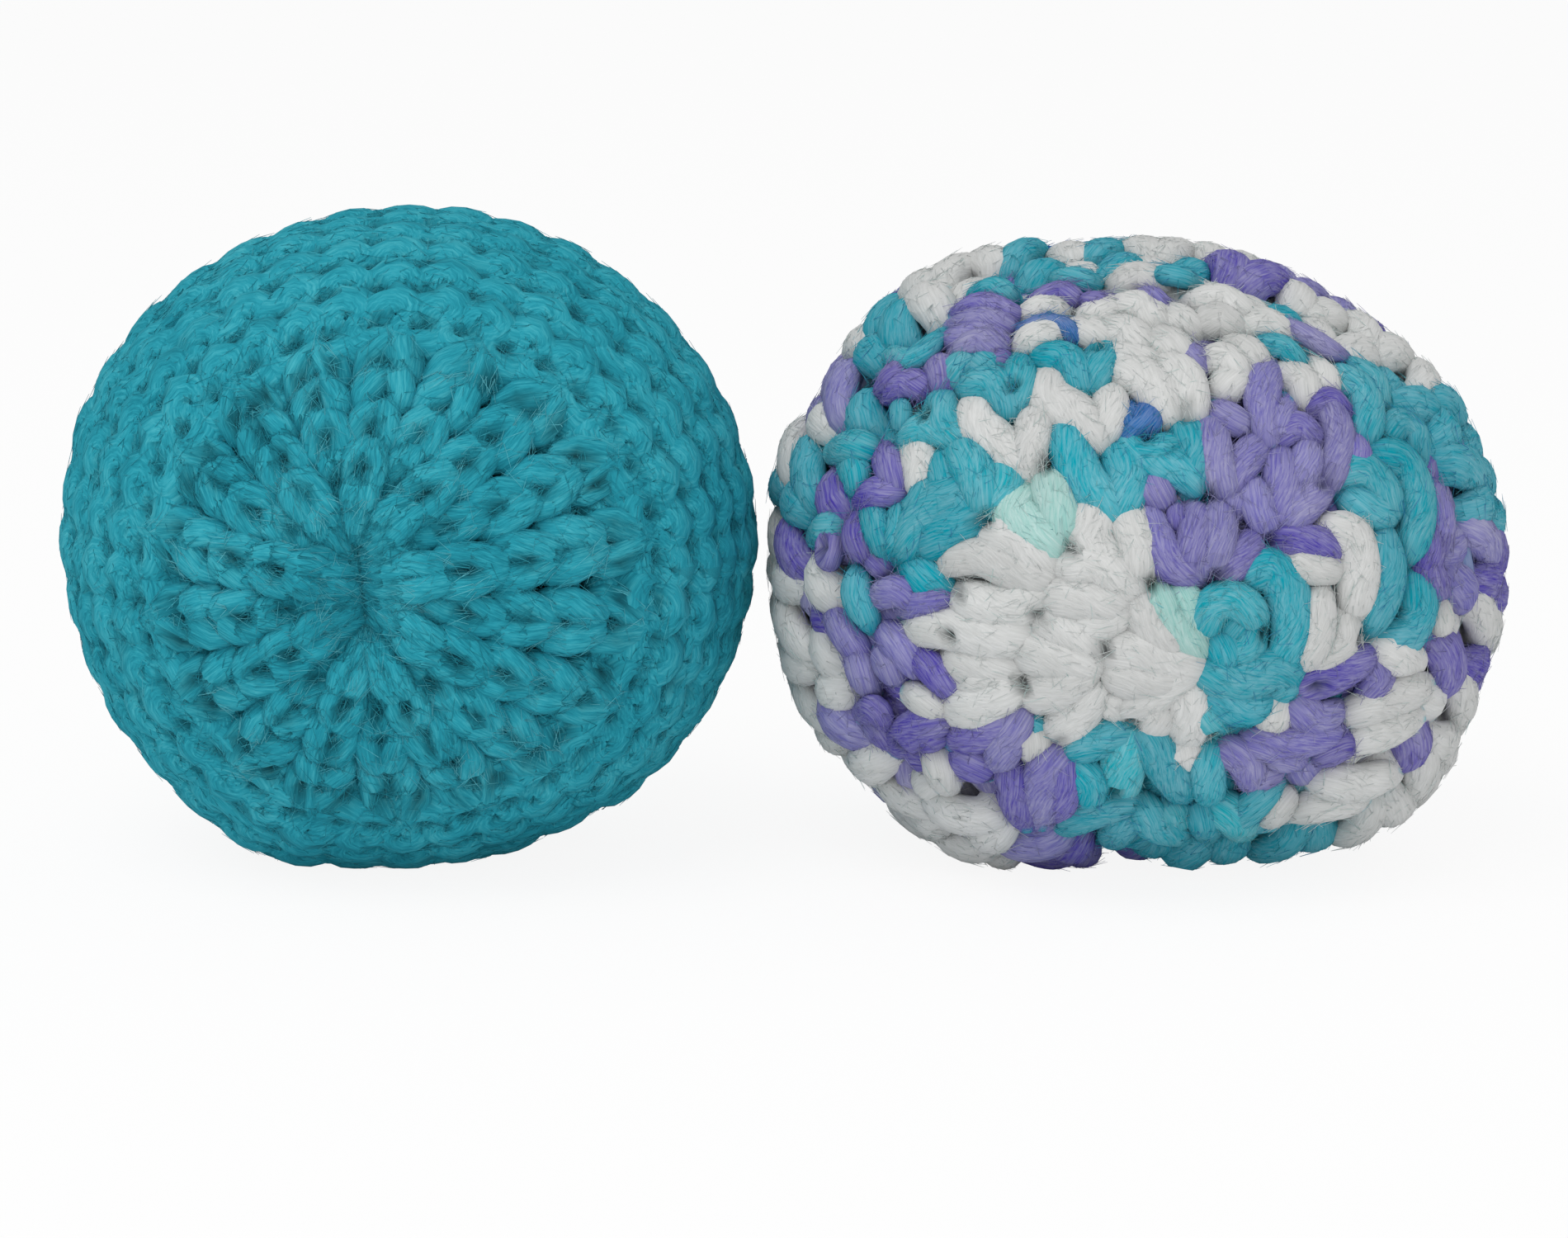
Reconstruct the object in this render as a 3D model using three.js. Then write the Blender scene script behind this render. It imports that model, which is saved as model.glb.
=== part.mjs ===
// A pair of handmade footbags that lie side by side: a knitted one, gathered at both ends, and a
// crocheted one, drawn shut at the back. Each is a yarn cover round a tied cloth pouch of pellets.
// Sizes are in millimetres and angles in degrees. +X is to the right, -Y to the front, +Z up.
import * as THREE from "three";

// Outer sizes of the knitted ball. Crown and belly are the reaches above and below its middle, and
// the foot press is what the ball's weight flattens off the belly.
const KNIT_WIDTH = 58;
const KNIT_DEPTH = 54;
const KNIT_CROWN = 27.6;
const KNIT_BELLY = 27.9;
const KNIT_FOOT_PRESS = 1.6;
const KNIT_WALL = 3.6;

// Outer sizes of the crocheted ball.
const CROCHET_WIDTH = 61.4;
const CROCHET_DEPTH = 57;
const CROCHET_CROWN = 26.6;
const CROCHET_BELLY = 26.8;
const CROCHET_FOOT_PRESS = 2.1;
const CROCHET_WALL = 4.2;

// How much squarer than an ellipse each belly has sagged, as a share added to the power 2.
const KNIT_SAG_share = 0.1;
const CROCHET_SAG_share = 0.35;

// The gathers: the hollow round each, and the hole that the drawn loops leave in its floor.
const KNIT_FRONT_HOLLOW_DEPTH = 5;
const KNIT_BACK_HOLLOW_DEPTH = 4;
const KNIT_HOLLOW_SPREAD = 4.6;
const KNIT_SLIT_HALF_LENGTH = 3;
const CROCHET_HOLLOW_DEPTH = 2.4;
const CROCHET_HOLLOW_SPREAD = 4.5;
const HOLLOW_WIDENING_share = 0.6;

// How gently the layers inside turn up round the foot.
const FOOT_ROUNDING_share = 0.1;
const GATHER_YARN_RADIUS = 0.6;
const KNIT_FRONT_LOOP_HALF_LENGTH = 2.6;
const KNIT_FRONT_LOOP_HALF_WIDTH = 1.4;
const ROUND_LOOP_RADIUS = 1.5;
const GATHER_CLEARANCE = 0.3;

// The cloth pouches, their necks and the thread tied round each neck.
const POUCH_SLACK = 0.8;
const POUCH_CLOTH = 0.5;
const NECK_RADIUS = 2.2;
const NECK_LENGTH = 6.5;
const NECK_HOLLOW_DEPTH = 7;
const NECK_HOLLOW_SPREAD = 12;
const TIE_THREAD_RADIUS = 0.6;
const TIE_CLEARANCE = 0.4;
const TIE_BELOW_TIP = 1.3;
const PELLET_SLACK = 0.9;

// The balls almost touch, side by side.
const PAIR_GAP = 0.4;

// Where each ball's front pole points: turned to the right of straight ahead, and raised. The
// knitted tube is gathered there, and the crocheted rounds start there.
const KNIT_POLE_TURN = -5.5;
const KNIT_POLE_RISE = 0;
const CROCHET_POLE_TURN = 7.3;
const CROCHET_POLE_RISE = 0.5;

// The knitted tube's work: ribs run out from each gather as far as a polar angle about the side's
// own axis, and from there rounds of purl stand out as ridges.
const KNIT_RIBS = 18;
const KNIT_RIB_GROOVE_DEPTH = 1.9;
const KNIT_RIB_END_ANGLE = 47;
const KNIT_SIDE_TURN = 1;
const KNIT_COURSES = 11;
const KNIT_COURSE_GROOVE_DEPTH = 1.5;
const KNIT_COURSE_GROOVE_share = 0.45;
const KNIT_COURSE_RIDGE_share = 0.95;
// Where the rings across the ribs lie, from the gather's rim at 1 to the ends of the ribs at 0, how
// deep the grooves are there, and how many corners a rib has.
const KNIT_RIB_RING_shares = [
  { place: 1, groove: 0, corners: 2 },
  { place: 0.95, groove: 0.2, corners: 2 },
  { place: 0.88, groove: 0.6, corners: 2 },
  { place: 0.79, groove: 1, corners: 2 },
  { place: 0.67, groove: 1, corners: 4 },
  { place: 0.52, groove: 1, corners: 4 },
  { place: 0.35, groove: 1, corners: 4 },
  { place: 0.17, groove: 0.9, corners: 4 },
];

// The crocheted bag's work: one spiral of single crochet from a short straight start. Each stitch
// is a V of two plump legs that spring from one hole.
const CROCHET_ROUNDS = 13;
const CROCHET_STITCH_WIDTH = 6.9;
const CROCHET_GROOVE_DEPTH = 2;
const CROCHET_LEAST_STITCHES = 5;
const CROCHET_FIRST_TURN = 23;
const CROCHET_FIRST_ROUND_share = 0.42;
const CROCHET_LAST_ROUNDS_share = 1.3;
const CROCHET_START_share = 0.19;
const CROCHET_START_FADE_ANGLE = 51.6;
const CROCHET_CLOSING_share = 0.5;
// The lines of corners along the spiral: how far each lies on, in rounds, and for each of a
// stitch's corners how far it lies across, in stitches, and how deep, in groove depths.
const CROCHET_LINE_shares = [
  { on: -0.22, corners: [[0.08, 1], [0.55, 0.65]] },
  { on: 0.1, corners: [[0.02, 0], [0.52, 0.75]] },
  { on: 0.47, corners: [[-0.33, 0], [-0.05, 0.6], [0.24, 0], [0.46, 0.65]] },
];

// How near the foot, as a share of the middle's height, the work starts to be pressed smooth.
const FOOT_SMOOTHING_share = 0.9;

// Swells of the outline. The clock runs anticlockwise from the right as seen from the front.
const KNIT_SWELLS = [
  { clock: 244, out: 1.1, spread: 13 },
  { clock: 298, out: -0.8, spread: 18 },
  { clock: 145, out: 0.4, spread: 20 },
];
const CROCHET_SWELLS = [
  { clock: 132, out: 1.8, spread: 22 },
  { clock: 202, out: 0.9, spread: 16 },
  { clock: 236, out: 1.2, spread: 14 },
  { clock: 316, out: 0.8, spread: 16 },
  { clock: 50, out: -0.75, spread: 20 },
];

// How finely the surfaces are divided.
const COVER_TURNS = 36;
const POUCH_TURNS = 24;
const INSIDE_STEPS = 14;
const POUCH_STEPS = 16;
const LOOP_STEPS = 20;
const LOOP_SIDES = 6;
const INSIDE_CROWDING_share = 0.55;

const YARN = { roughness: 0.95, metalness: 0 };
const teal = new THREE.MeshStandardMaterial({ color: 0x2b97a6, ...YARN });
const dappled = new THREE.MeshStandardMaterial({ color: 0xb4c6d6, ...YARN });
const white = new THREE.MeshStandardMaterial({ color: 0xd8d8d6, ...YARN });
const cloth = new THREE.MeshStandardMaterial({ color: 0x24303a, roughness: 0.9, metalness: 0 });
const thread = new THREE.MeshStandardMaterial({ color: 0x8f8a80, roughness: 0.8, metalness: 0 });
const pellets = new THREE.MeshStandardMaterial({ color: 0xe4dfd2, roughness: 0.45, metalness: 0 });

const radians = THREE.MathUtils.degToRad;

// A ball's own axes: the pole points out of the front gather.
function poleAxes(turn, rise) {
  const pole = new THREE.Vector3(
    Math.sin(radians(turn)) * Math.cos(radians(rise)),
    -Math.cos(radians(turn)) * Math.cos(radians(rise)),
    Math.sin(radians(rise)),
  );
  const right = new THREE.Vector3(0, 0, 1).cross(pole).normalize();
  const up = pole.clone().cross(right);
  return { pole, right, up };
}

// A hollow round one end of the pole axis. A long one is drawn out upwards, as a slit is.
function hollow(end, depth, spread, halfLength) {
  return { end, depth, spread, halfLength };
}

const knit = {
  halfWidth: KNIT_WIDTH / 2,
  halfDepth: KNIT_DEPTH / 2,
  crown: KNIT_CROWN,
  belly: KNIT_BELLY,
  middle: KNIT_BELLY - KNIT_FOOT_PRESS,
  sag: KNIT_SAG_share,
  swells: KNIT_SWELLS,
  axes: poleAxes(KNIT_POLE_TURN, KNIT_POLE_RISE),
  hollows: [
    hollow(1, KNIT_FRONT_HOLLOW_DEPTH, KNIT_HOLLOW_SPREAD, KNIT_SLIT_HALF_LENGTH),
    hollow(-1, KNIT_BACK_HOLLOW_DEPTH, KNIT_HOLLOW_SPREAD, 0),
  ],
};

const crochet = {
  halfWidth: CROCHET_WIDTH / 2,
  halfDepth: CROCHET_DEPTH / 2,
  crown: CROCHET_CROWN,
  belly: CROCHET_BELLY,
  middle: CROCHET_BELLY - CROCHET_FOOT_PRESS,
  sag: CROCHET_SAG_share,
  swells: CROCHET_SWELLS,
  axes: poleAxes(CROCHET_POLE_TURN, CROCHET_POLE_RISE),
  hollows: [hollow(-1, CROCHET_HOLLOW_DEPTH, CROCHET_HOLLOW_SPREAD, 0)],
};

// How deep a hollow is along a direction from the ball's middle. It is wider in the layers below.
function hollowDepth(ball, hole, way, below) {
  if (way.dot(ball.axes.pole) * hole.end <= 0) return 0;
  const radius = ball.halfDepth - below;
  const across = way.dot(ball.axes.right) * radius;
  const along = Math.abs(way.dot(ball.axes.up)) * radius;
  const spread = hole.spread + below * HOLLOW_WIDENING_share;
  const off = Math.hypot(across, Math.max(along - hole.halfLength, 0)) / spread;
  return hole.depth * Math.exp(-off * off);
}

// How far a swell stands out along a direction. It fades towards the front and the back.
function swellHeight(swell, way) {
  const clock = THREE.MathUtils.radToDeg(Math.atan2(way.z, way.x));
  const off = (THREE.MathUtils.euclideanModulo(clock - swell.clock + 180, 360) - 180) / swell.spread;
  return swell.out * Math.exp(-off * off) * (1 - way.y * way.y);
}

// The distance from the ball's middle to its skin along a direction, before the foot is pressed flat.
function skinReach(ball, way) {
  const power = 2 + ball.sag * THREE.MathUtils.smoothstep(-way.z, 0, 1);
  const upright = way.z > 0 ? ball.crown : ball.belly;
  const sum =
    Math.abs(way.x / ball.halfWidth) ** power +
    Math.abs(way.y / ball.halfDepth) ** power +
    Math.abs(way.z / upright) ** power;
  const swells = ball.swells.reduce((total, swell) => total + swellHeight(swell, way), 0);
  return sum ** (-1 / power) + swells;
}

// The point of a layer that lies some depth below the skin. The skin has a flat foot, and the
// layers inside it are pressed to a rounded one.
function layerPoint(ball, way, depth, hollows) {
  const sunk = hollows.reduce((total, hole) => total + hollowDepth(ball, hole, way, depth), 0);
  const free = skinReach(ball, way) - sunk - depth;
  const foot = ball.middle - depth;
  if (way.z >= 0) return way.clone().multiplyScalar(free);
  if (depth > 0) {
    const sharpness = 1 / FOOT_ROUNDING_share;
    const closeness = 1 + ((-way.z * free) / foot) ** sharpness;
    return way.clone().multiplyScalar(free * closeness ** -FOOT_ROUNDING_share);
  }
  const pressed = -way.z * free > foot;
  const point = way.clone().multiplyScalar(pressed ? foot / -way.z : free);
  if (pressed) point.z = -foot;
  return point;
}

// A point of the skin where the work is sunk by some depth. Round the foot it is pressed smooth.
function skinPoint(ball, way, sunk) {
  const point = layerPoint(ball, way, 0, ball.hollows);
  const closeness = -point.z / ball.middle;
  const smooth = THREE.MathUtils.smoothstep(closeness, FOOT_SMOOTHING_share, 1);
  return point.addScaledVector(way, -sunk * (1 - smooth));
}

// A unit direction at a polar angle from the front pole and a turn round the pole axis.
function wayAt(axes, polar, turn) {
  const { pole, right, up } = axes;
  const way = pole.clone().multiplyScalar(Math.cos(polar));
  way.addScaledVector(right, Math.sin(polar) * Math.cos(turn));
  return way.addScaledVector(up, Math.sin(polar) * Math.sin(turn));
}

// A closed surface of revolution whose rings are then laid where each stop says. Stops run from the
// front to the back along an outer surface, and the lathe needs them the other way round.
function wrapped(frontToBack, turns) {
  const stops = [...frontToBack].reverse();
  const marks = stops.map((stop, index) => new THREE.Vector2(1, index));
  const geometry = new THREE.LatheGeometry(marks, turns);
  const position = geometry.attributes.position;
  for (let turn = 0; turn <= turns; turn++) {
    const angle = (2 * Math.PI * (turn % turns)) / turns;
    stops.forEach((stop, index) => {
      const point = stop(angle);
      position.setXYZ(turn * stops.length + index, point.x, point.y, point.z);
    });
  }
  geometry.deleteAttribute("normal");
  geometry.deleteAttribute("uv");
  return geometry;
}

// Rings of a layer between two polar angles, closer together near the poles.
function layerStops(ball, depth, hollows, from, to, steps, crowding) {
  return Array.from({ length: steps + 1 }, (unused, index) => {
    const share = index / steps;
    const eased = share - (crowding * Math.sin(2 * Math.PI * share)) / (2 * Math.PI);
    return (turn) => {
      const start = from(turn);
      const polar = start + (to(turn) - start) * eased;
      return layerPoint(ball, wayAt(ball.axes, polar, turn), depth, hollows);
    };
  });
}

// The polar angle at which a layer meets the wall of a straight hole round one end of the pole axis.
function holeEdge(ball, depth, hollows, end, halfWidth, halfLength) {
  const pole = ball.axes.pole.clone().multiplyScalar(end);
  const reach = layerPoint(ball, pole, depth, hollows).length();
  return (turn) => {
    const wide = halfLength * Math.cos(turn);
    const long = halfWidth * Math.sin(turn);
    const radius = (halfWidth * halfLength) / Math.hypot(wide, long);
    const angle = Math.asin(radius / reach);
    return end > 0 ? angle : Math.PI - angle;
  };
}

const front = () => 0;
const back = () => Math.PI;
const fullTurn = 2 * Math.PI;

// A surface that is sewn together from lines of corners. A mark on a line is a corner's number and
// the turn round the pole axis at which it lies, and marks follow one another at rising turns.
class SewnSurface {
  corners = [];
  faces = [];

  mark(turn, point) {
    this.corners.push(point);
    return { turn, corner: this.corners.length - 1 };
  }

  // A closed ring of corners. One corner alone is a pole.
  ring(count, start, pointAt) {
    const marks = Array.from({ length: count }, (unused, index) => {
      const turn = start + (fullTurn * index) / count;
      return this.mark(turn, pointAt(turn));
    });
    return count > 1 ? this.closed(marks) : marks;
  }

  closed(marks) {
    return [...marks, { turn: marks[0].turn + fullTurn, corner: marks[0].corner }];
  }

  // Fills between two lines that run from front to back along an outer surface. The far one may
  // lag behind by whole turns.
  join(near, far, lag = 0) {
    const half = (line, step) => (line[step].turn + line[step + 1].turn) / 2;
    let here = 0;
    let there = 0;
    while (here < near.length - 1 || there < far.length - 1) {
      const nearIsNext =
        there === far.length - 1 ||
        (here < near.length - 1 && half(near, here) <= half(far, there) - lag);
      const third = nearIsNext ? near[here + 1] : far[there + 1];
      this.faces.push(near[here].corner, far[there].corner, third.corner);
      here += nearIsNext ? 1 : 0;
      there += nearIsNext ? 0 : 1;
    }
  }

  joinAll(rings) {
    rings.slice(1).forEach((ring, index) => this.join(rings[index], ring));
  }

  geometry() {
    const geometry = new THREE.BufferGeometry();
    const places = this.corners.flatMap((corner) => corner.toArray());
    geometry.setAttribute("position", new THREE.Float32BufferAttribute(places, 3));
    geometry.setIndex(this.faces);
    return geometry;
  }
}

// How deep the groove between two ribs is at a turn, as a share of its depth.
function ribGroove(turn) {
  const rib = THREE.MathUtils.euclideanModulo((turn * KNIT_RIBS) / fullTurn, 1);
  return Math.max(0, 1 - 4 * Math.min(rib, 1 - rib));
}

// The knitted tube is open at both gathers.
function knitCover() {
  const sideAxes = poleAxes(KNIT_SIDE_TURN, 0);
  const ribEnd = radians(KNIT_RIB_END_ANGLE);
  const sideSpan = Math.PI - 2 * ribEnd;
  const halfWidth = KNIT_FRONT_LOOP_HALF_WIDTH + GATHER_YARN_RADIUS + GATHER_CLEARANCE;
  const halfLength = KNIT_FRONT_LOOP_HALF_LENGTH + GATHER_YARN_RADIUS + GATHER_CLEARANCE;
  const round = ROUND_LOOP_RADIUS + GATHER_YARN_RADIUS + GATHER_CLEARANCE;
  const edge = (depth, end) =>
    end > 0
      ? holeEdge(knit, depth, knit.hollows, end, halfWidth, halfLength)
      : holeEdge(knit, depth, knit.hollows, end, round, round);
  const surface = new SewnSurface();

  const ribRings = (end) => {
    const rim = edge(0, end);
    const outer = end > 0 ? ribEnd : ribEnd + sideSpan;
    return KNIT_RIB_RING_shares.map(({ place, groove, corners }) =>
      surface.ring(KNIT_RIBS * corners, 0, (turn) => {
        const way = wayAt(sideAxes, outer, turn).multiplyScalar(1 - place);
        way.addScaledVector(wayAt(knit.axes, rim(turn), turn), place).normalize();
        return skinPoint(knit, way, KNIT_RIB_GROOVE_DEPTH * groove * ribGroove(turn));
      }));
  };
  const sideRing = (place, sunk) =>
    surface.ring(COVER_TURNS, 0, (turn) =>
      skinPoint(knit, wayAt(sideAxes, ribEnd + sideSpan * place, turn), sunk));

  const frontRibs = ribRings(1);
  const side = [sideRing(0, 0)];
  for (let course = 0; course < KNIT_COURSES; course++) {
    const ridge = course + 1 < KNIT_COURSES ? course + KNIT_COURSE_RIDGE_share : KNIT_COURSES;
    side.push(
      sideRing((course + KNIT_COURSE_GROOVE_share) / KNIT_COURSES, KNIT_COURSE_GROOVE_DEPTH),
      sideRing(ridge / KNIT_COURSES, 0));
  }
  const backRibs = ribRings(-1).reverse();
  const inside = layerStops(
    knit, KNIT_WALL, knit.hollows, edge(KNIT_WALL, -1), edge(KNIT_WALL, 1),
    INSIDE_STEPS, INSIDE_CROWDING_share);
  const insideRings = inside.map((stop) => surface.ring(COVER_TURNS, 0, stop));
  surface.joinAll([...frontRibs, ...side, ...backRibs, ...insideRings, frontRibs[0]]);
  return surface.geometry();
}

// A direction on the crocheted bag. The first rounds are drawn out sideways along the start.
function crochetWay(turn, round) {
  const polar = (Math.PI * round) / CROCHET_ROUNDS;
  const fade = Math.exp(-((polar / radians(CROCHET_START_FADE_ANGLE)) ** 2));
  const way = wayAt(crochet.axes, polar, turn);
  const drawn = CROCHET_START_share * fade * Math.cos(turn);
  return way.addScaledVector(crochet.axes.right, drawn).normalize();
}

// How many stitches a round has if it lies this far on.
function stitchesRound(round) {
  const radius = (crochet.halfWidth + crochet.halfDepth) / 2;
  const polar = (Math.PI * round) / CROCHET_ROUNDS;
  const fade = Math.exp(-((polar / radians(CROCHET_START_FADE_ANGLE)) ** 2));
  const around = radius * (fullTurn * Math.sin(polar) + 4 * CROCHET_START_share * fade);
  return Math.max(CROCHET_LEAST_STITCHES, around / CROCHET_STITCH_WIDTH);
}

// The crocheted bag starts closed in front and is open only where it was finished, at the back.
function crochetCover() {
  const hole = ROUND_LOOP_RADIUS + GATHER_YARN_RADIUS + GATHER_CLEARANCE;
  const edge = (depth) => holeEdge(crochet, depth, crochet.hollows, -1, hole, hole);
  const surface = new SewnSurface();

  const lines = CROCHET_LINE_shares.map(() => []);
  let turn = radians(CROCHET_FIRST_TURN);
  let round = CROCHET_FIRST_ROUND_share;
  while (round < CROCHET_ROUNDS - CROCHET_LAST_ROUNDS_share) {
    const count = stitchesRound(round);
    CROCHET_LINE_shares.forEach(({ on, corners }, index) => {
      corners.forEach(([across, deep]) => {
        const at = turn + (fullTurn * across) / count;
        const way = crochetWay(at, round + on + across / count);
        const point = skinPoint(crochet, way, CROCHET_GROOVE_DEPTH * deep);
        lines[index].push(surface.mark(at, point));
      });
    });
    turn += fullTurn / count;
    round += 1 / count;
  }

  const [feet, legs, tops] = lines;
  const lastFoot = feet[feet.length - 1];
  const nextFeet = feet.findIndex((foot) => foot.turn >= tops[0].turn + fullTurn);
  const lastTop = tops.findIndex((top) => top.turn >= lastFoot.turn - fullTurn);
  surface.join(feet, legs);
  surface.join(legs, tops);
  surface.join(tops.slice(0, lastTop + 1), feet.slice(nextFeet), fullTurn);

  const startCorner = [surface.mark(0, skinPoint(crochet, crochet.axes.pole, CROCHET_GROOVE_DEPTH))];
  surface.join(startCorner, surface.closed([...feet.slice(0, nextFeet + 1), tops[0], legs[0]]));

  const spiralEnd = surface.closed([...tops.slice(lastTop), legs[legs.length - 1], lastFoot]);
  const rim = edge(0);
  const rimRing = (share) =>
    surface.ring(COVER_TURNS / 2, spiralEnd[0].turn, (at) => {
      const way = crochetWay(at, round + CROCHET_CLOSING_share).multiplyScalar(1 - share);
      way.addScaledVector(wayAt(crochet.axes, rim(at), at), share).normalize();
      return skinPoint(crochet, way, 0);
    });
  const inside = layerStops(
    crochet, CROCHET_WALL, crochet.hollows, edge(CROCHET_WALL), front,
    INSIDE_STEPS, INSIDE_CROWDING_share);
  const insideRings = inside.map((stop, index) =>
    surface.ring(index < INSIDE_STEPS ? COVER_TURNS : 1, spiralEnd[0].turn, stop));
  surface.joinAll([
    spiralEnd, rimRing(CROCHET_CLOSING_share), rimRing(1), ...insideRings]);
  return surface.geometry();
}

// Where the pouch dips round its neck, which is at the back.
const neckHollow = hollow(-1, NECK_HOLLOW_DEPTH, NECK_HOLLOW_SPREAD, 0);

// A point on the neck, at some radius round the pole axis and some distance behind the middle.
function neckStop(ball, radius, distance) {
  const { pole, right, up } = ball.axes;
  return (turn) =>
    pole
      .clone()
      .multiplyScalar(-distance)
      .addScaledVector(right, radius * Math.cos(turn))
      .addScaledVector(up, radius * Math.sin(turn));
}

// How far behind the middle the pouch's cloth lies at the neck.
function neckRoot(ball, wall) {
  const behind = ball.axes.pole.clone().negate();
  return layerPoint(ball, behind, wall + POUCH_SLACK, [...ball.hollows, neckHollow]).length();
}

// The cloth pouch, with its neck turned up at the back.
function pouch(ball, wall) {
  const hollows = [...ball.hollows, neckHollow];
  const outer = wall + POUCH_SLACK;
  const inner = outer + POUCH_CLOTH;
  const bore = NECK_RADIUS - POUCH_CLOTH;
  const edge = (depth, radius) => holeEdge(ball, depth, hollows, -1, radius, radius);
  const tip = neckRoot(ball, wall) + NECK_LENGTH;
  const stops = [
    ...layerStops(
      ball, outer, hollows, front, edge(outer, NECK_RADIUS), POUCH_STEPS, INSIDE_CROWDING_share),
    neckStop(ball, NECK_RADIUS, tip),
    neckStop(ball, bore, tip),
    ...layerStops(
      ball, inner, hollows, edge(inner, bore), front, POUCH_STEPS, INSIDE_CROWDING_share),
  ];
  return wrapped(stops, POUCH_TURNS);
}

// The pellets fill the pouch, so together they have its inner shape.
function pelletFill(ball, wall) {
  const hollows = [...ball.hollows, neckHollow];
  const depth = wall + POUCH_SLACK + POUCH_CLOTH + PELLET_SLACK;
  return wrapped(
    layerStops(ball, depth, hollows, front, back, POUCH_STEPS, INSIDE_CROWDING_share),
    POUCH_TURNS);
}

// A closed loop of round yarn that lies in the XY plane, longer along Y where it isn't round.
function yarnLoop(halfWidth, halfLength, yarnRadius) {
  const geometry = new THREE.TorusGeometry(halfWidth, yarnRadius, LOOP_SIDES, LOOP_STEPS);
  const position = geometry.attributes.position;
  for (let side = 0; side <= LOOP_SIDES; side++) {
    for (let step = 0; step <= LOOP_STEPS; step++) {
      const round = (2 * Math.PI * (step % LOOP_STEPS)) / LOOP_STEPS;
      const about = (2 * Math.PI * (side % LOOP_SIDES)) / LOOP_SIDES;
      const line = new THREE.Vector2(halfWidth * Math.cos(round), halfLength * Math.sin(round));
      const out = new THREE.Vector2(halfLength * Math.cos(round), halfWidth * Math.sin(round));
      out.normalize();
      line.addScaledVector(out, yarnRadius * Math.cos(about));
      const index = side * (LOOP_STEPS + 1) + step;
      position.setXYZ(index, line.x, line.y, yarnRadius * Math.sin(about));
    }
  }
  geometry.deleteAttribute("normal");
  geometry.deleteAttribute("uv");
  return geometry;
}

function named(name, geometry, material) {
  const mesh = new THREE.Mesh(geometry, material);
  mesh.name = name;
  return mesh;
}

// Turns a loop square to the pole axis and sets it some distance along that axis.
function onPole(mesh, ball, distance) {
  const { pole, right, up } = ball.axes;
  const upright = new THREE.Matrix4().makeBasis(right, up, right.clone().cross(up));
  mesh.quaternion.setFromRotationMatrix(upright);
  mesh.position.copy(pole).multiplyScalar(distance);
  return mesh;
}

// The drawn yarn lies halfway through the cover's wall, in the hole that its loops leave.
function gatherYarn(name, ball, wall, end, halfWidth, halfLength, material) {
  const pole = ball.axes.pole.clone().multiplyScalar(end);
  const middle = layerPoint(ball, pole, wall / 2, ball.hollows).length();
  const loop = named(name, yarnLoop(halfWidth, halfLength, GATHER_YARN_RADIUS), material);
  return onPole(loop, ball, end * middle);
}

// The thread is tied round the neck, just below its tip.
function neckTie(name, ball, wall) {
  const radius = NECK_RADIUS + TIE_CLEARANCE + TIE_THREAD_RADIUS;
  const loop = named(name, yarnLoop(radius, radius, TIE_THREAD_RADIUS), thread);
  return onPole(loop, ball, TIE_BELOW_TIP - NECK_LENGTH - neckRoot(ball, wall));
}

function knittedFootbag() {
  const group = new THREE.Group();
  group.add(named("knit_cover", knitCover(), teal));
  group.add(
    gatherYarn(
      "knit_front_gather_yarn", knit, KNIT_WALL, 1,
      KNIT_FRONT_LOOP_HALF_WIDTH, KNIT_FRONT_LOOP_HALF_LENGTH, teal),
    gatherYarn(
      "knit_back_gather_yarn", knit, KNIT_WALL, -1, ROUND_LOOP_RADIUS, ROUND_LOOP_RADIUS, teal));
  group.add(named("knit_pouch", pouch(knit, KNIT_WALL), cloth));
  group.add(neckTie("knit_pouch_tie", knit, KNIT_WALL));
  group.add(named("knit_pellet_fill", pelletFill(knit, KNIT_WALL), pellets));
  return group;
}

function crochetedFootbag() {
  const group = new THREE.Group();
  group.add(named("crochet_cover", crochetCover(), dappled));
  group.add(
    gatherYarn(
      "crochet_closing_yarn", crochet, CROCHET_WALL, -1,
      ROUND_LOOP_RADIUS, ROUND_LOOP_RADIUS, white));
  group.add(named("crochet_pouch", pouch(crochet, CROCHET_WALL), cloth));
  group.add(neckTie("crochet_pouch_tie", crochet, CROCHET_WALL));
  group.add(named("crochet_pellet_fill", pelletFill(crochet, CROCHET_WALL), pellets));
  return group;
}

// The pair is centred on the origin, and both feet stand at height zero.
function sideBySide(left, right) {
  const leftBox = new THREE.Box3().setFromObject(left);
  const rightBox = new THREE.Box3().setFromObject(right);
  const leftWidth = leftBox.max.x - leftBox.min.x;
  const rightWidth = rightBox.max.x - rightBox.min.x;
  const start = -(leftWidth + PAIR_GAP + rightWidth) / 2;
  left.position.x = start - leftBox.min.x;
  right.position.x = start + leftWidth + PAIR_GAP - rightBox.min.x;
  left.position.y = -(leftBox.min.y + leftBox.max.y) / 2;
  right.position.y = -(rightBox.min.y + rightBox.max.y) / 2;
  left.position.z = knit.middle;
  right.position.z = crochet.middle;
}

const pair = new THREE.Group();
const leftBall = knittedFootbag();
const rightBall = crochetedFootbag();
sideBySide(leftBall, rightBall);
pair.add(leftBall, rightBall);

export default pair;
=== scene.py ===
import math

import bmesh
import bpy
import numpy as np
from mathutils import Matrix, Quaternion, Vector
from mathutils.bvhtree import BVHTree
from mathutils.kdtree import KDTree


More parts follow.
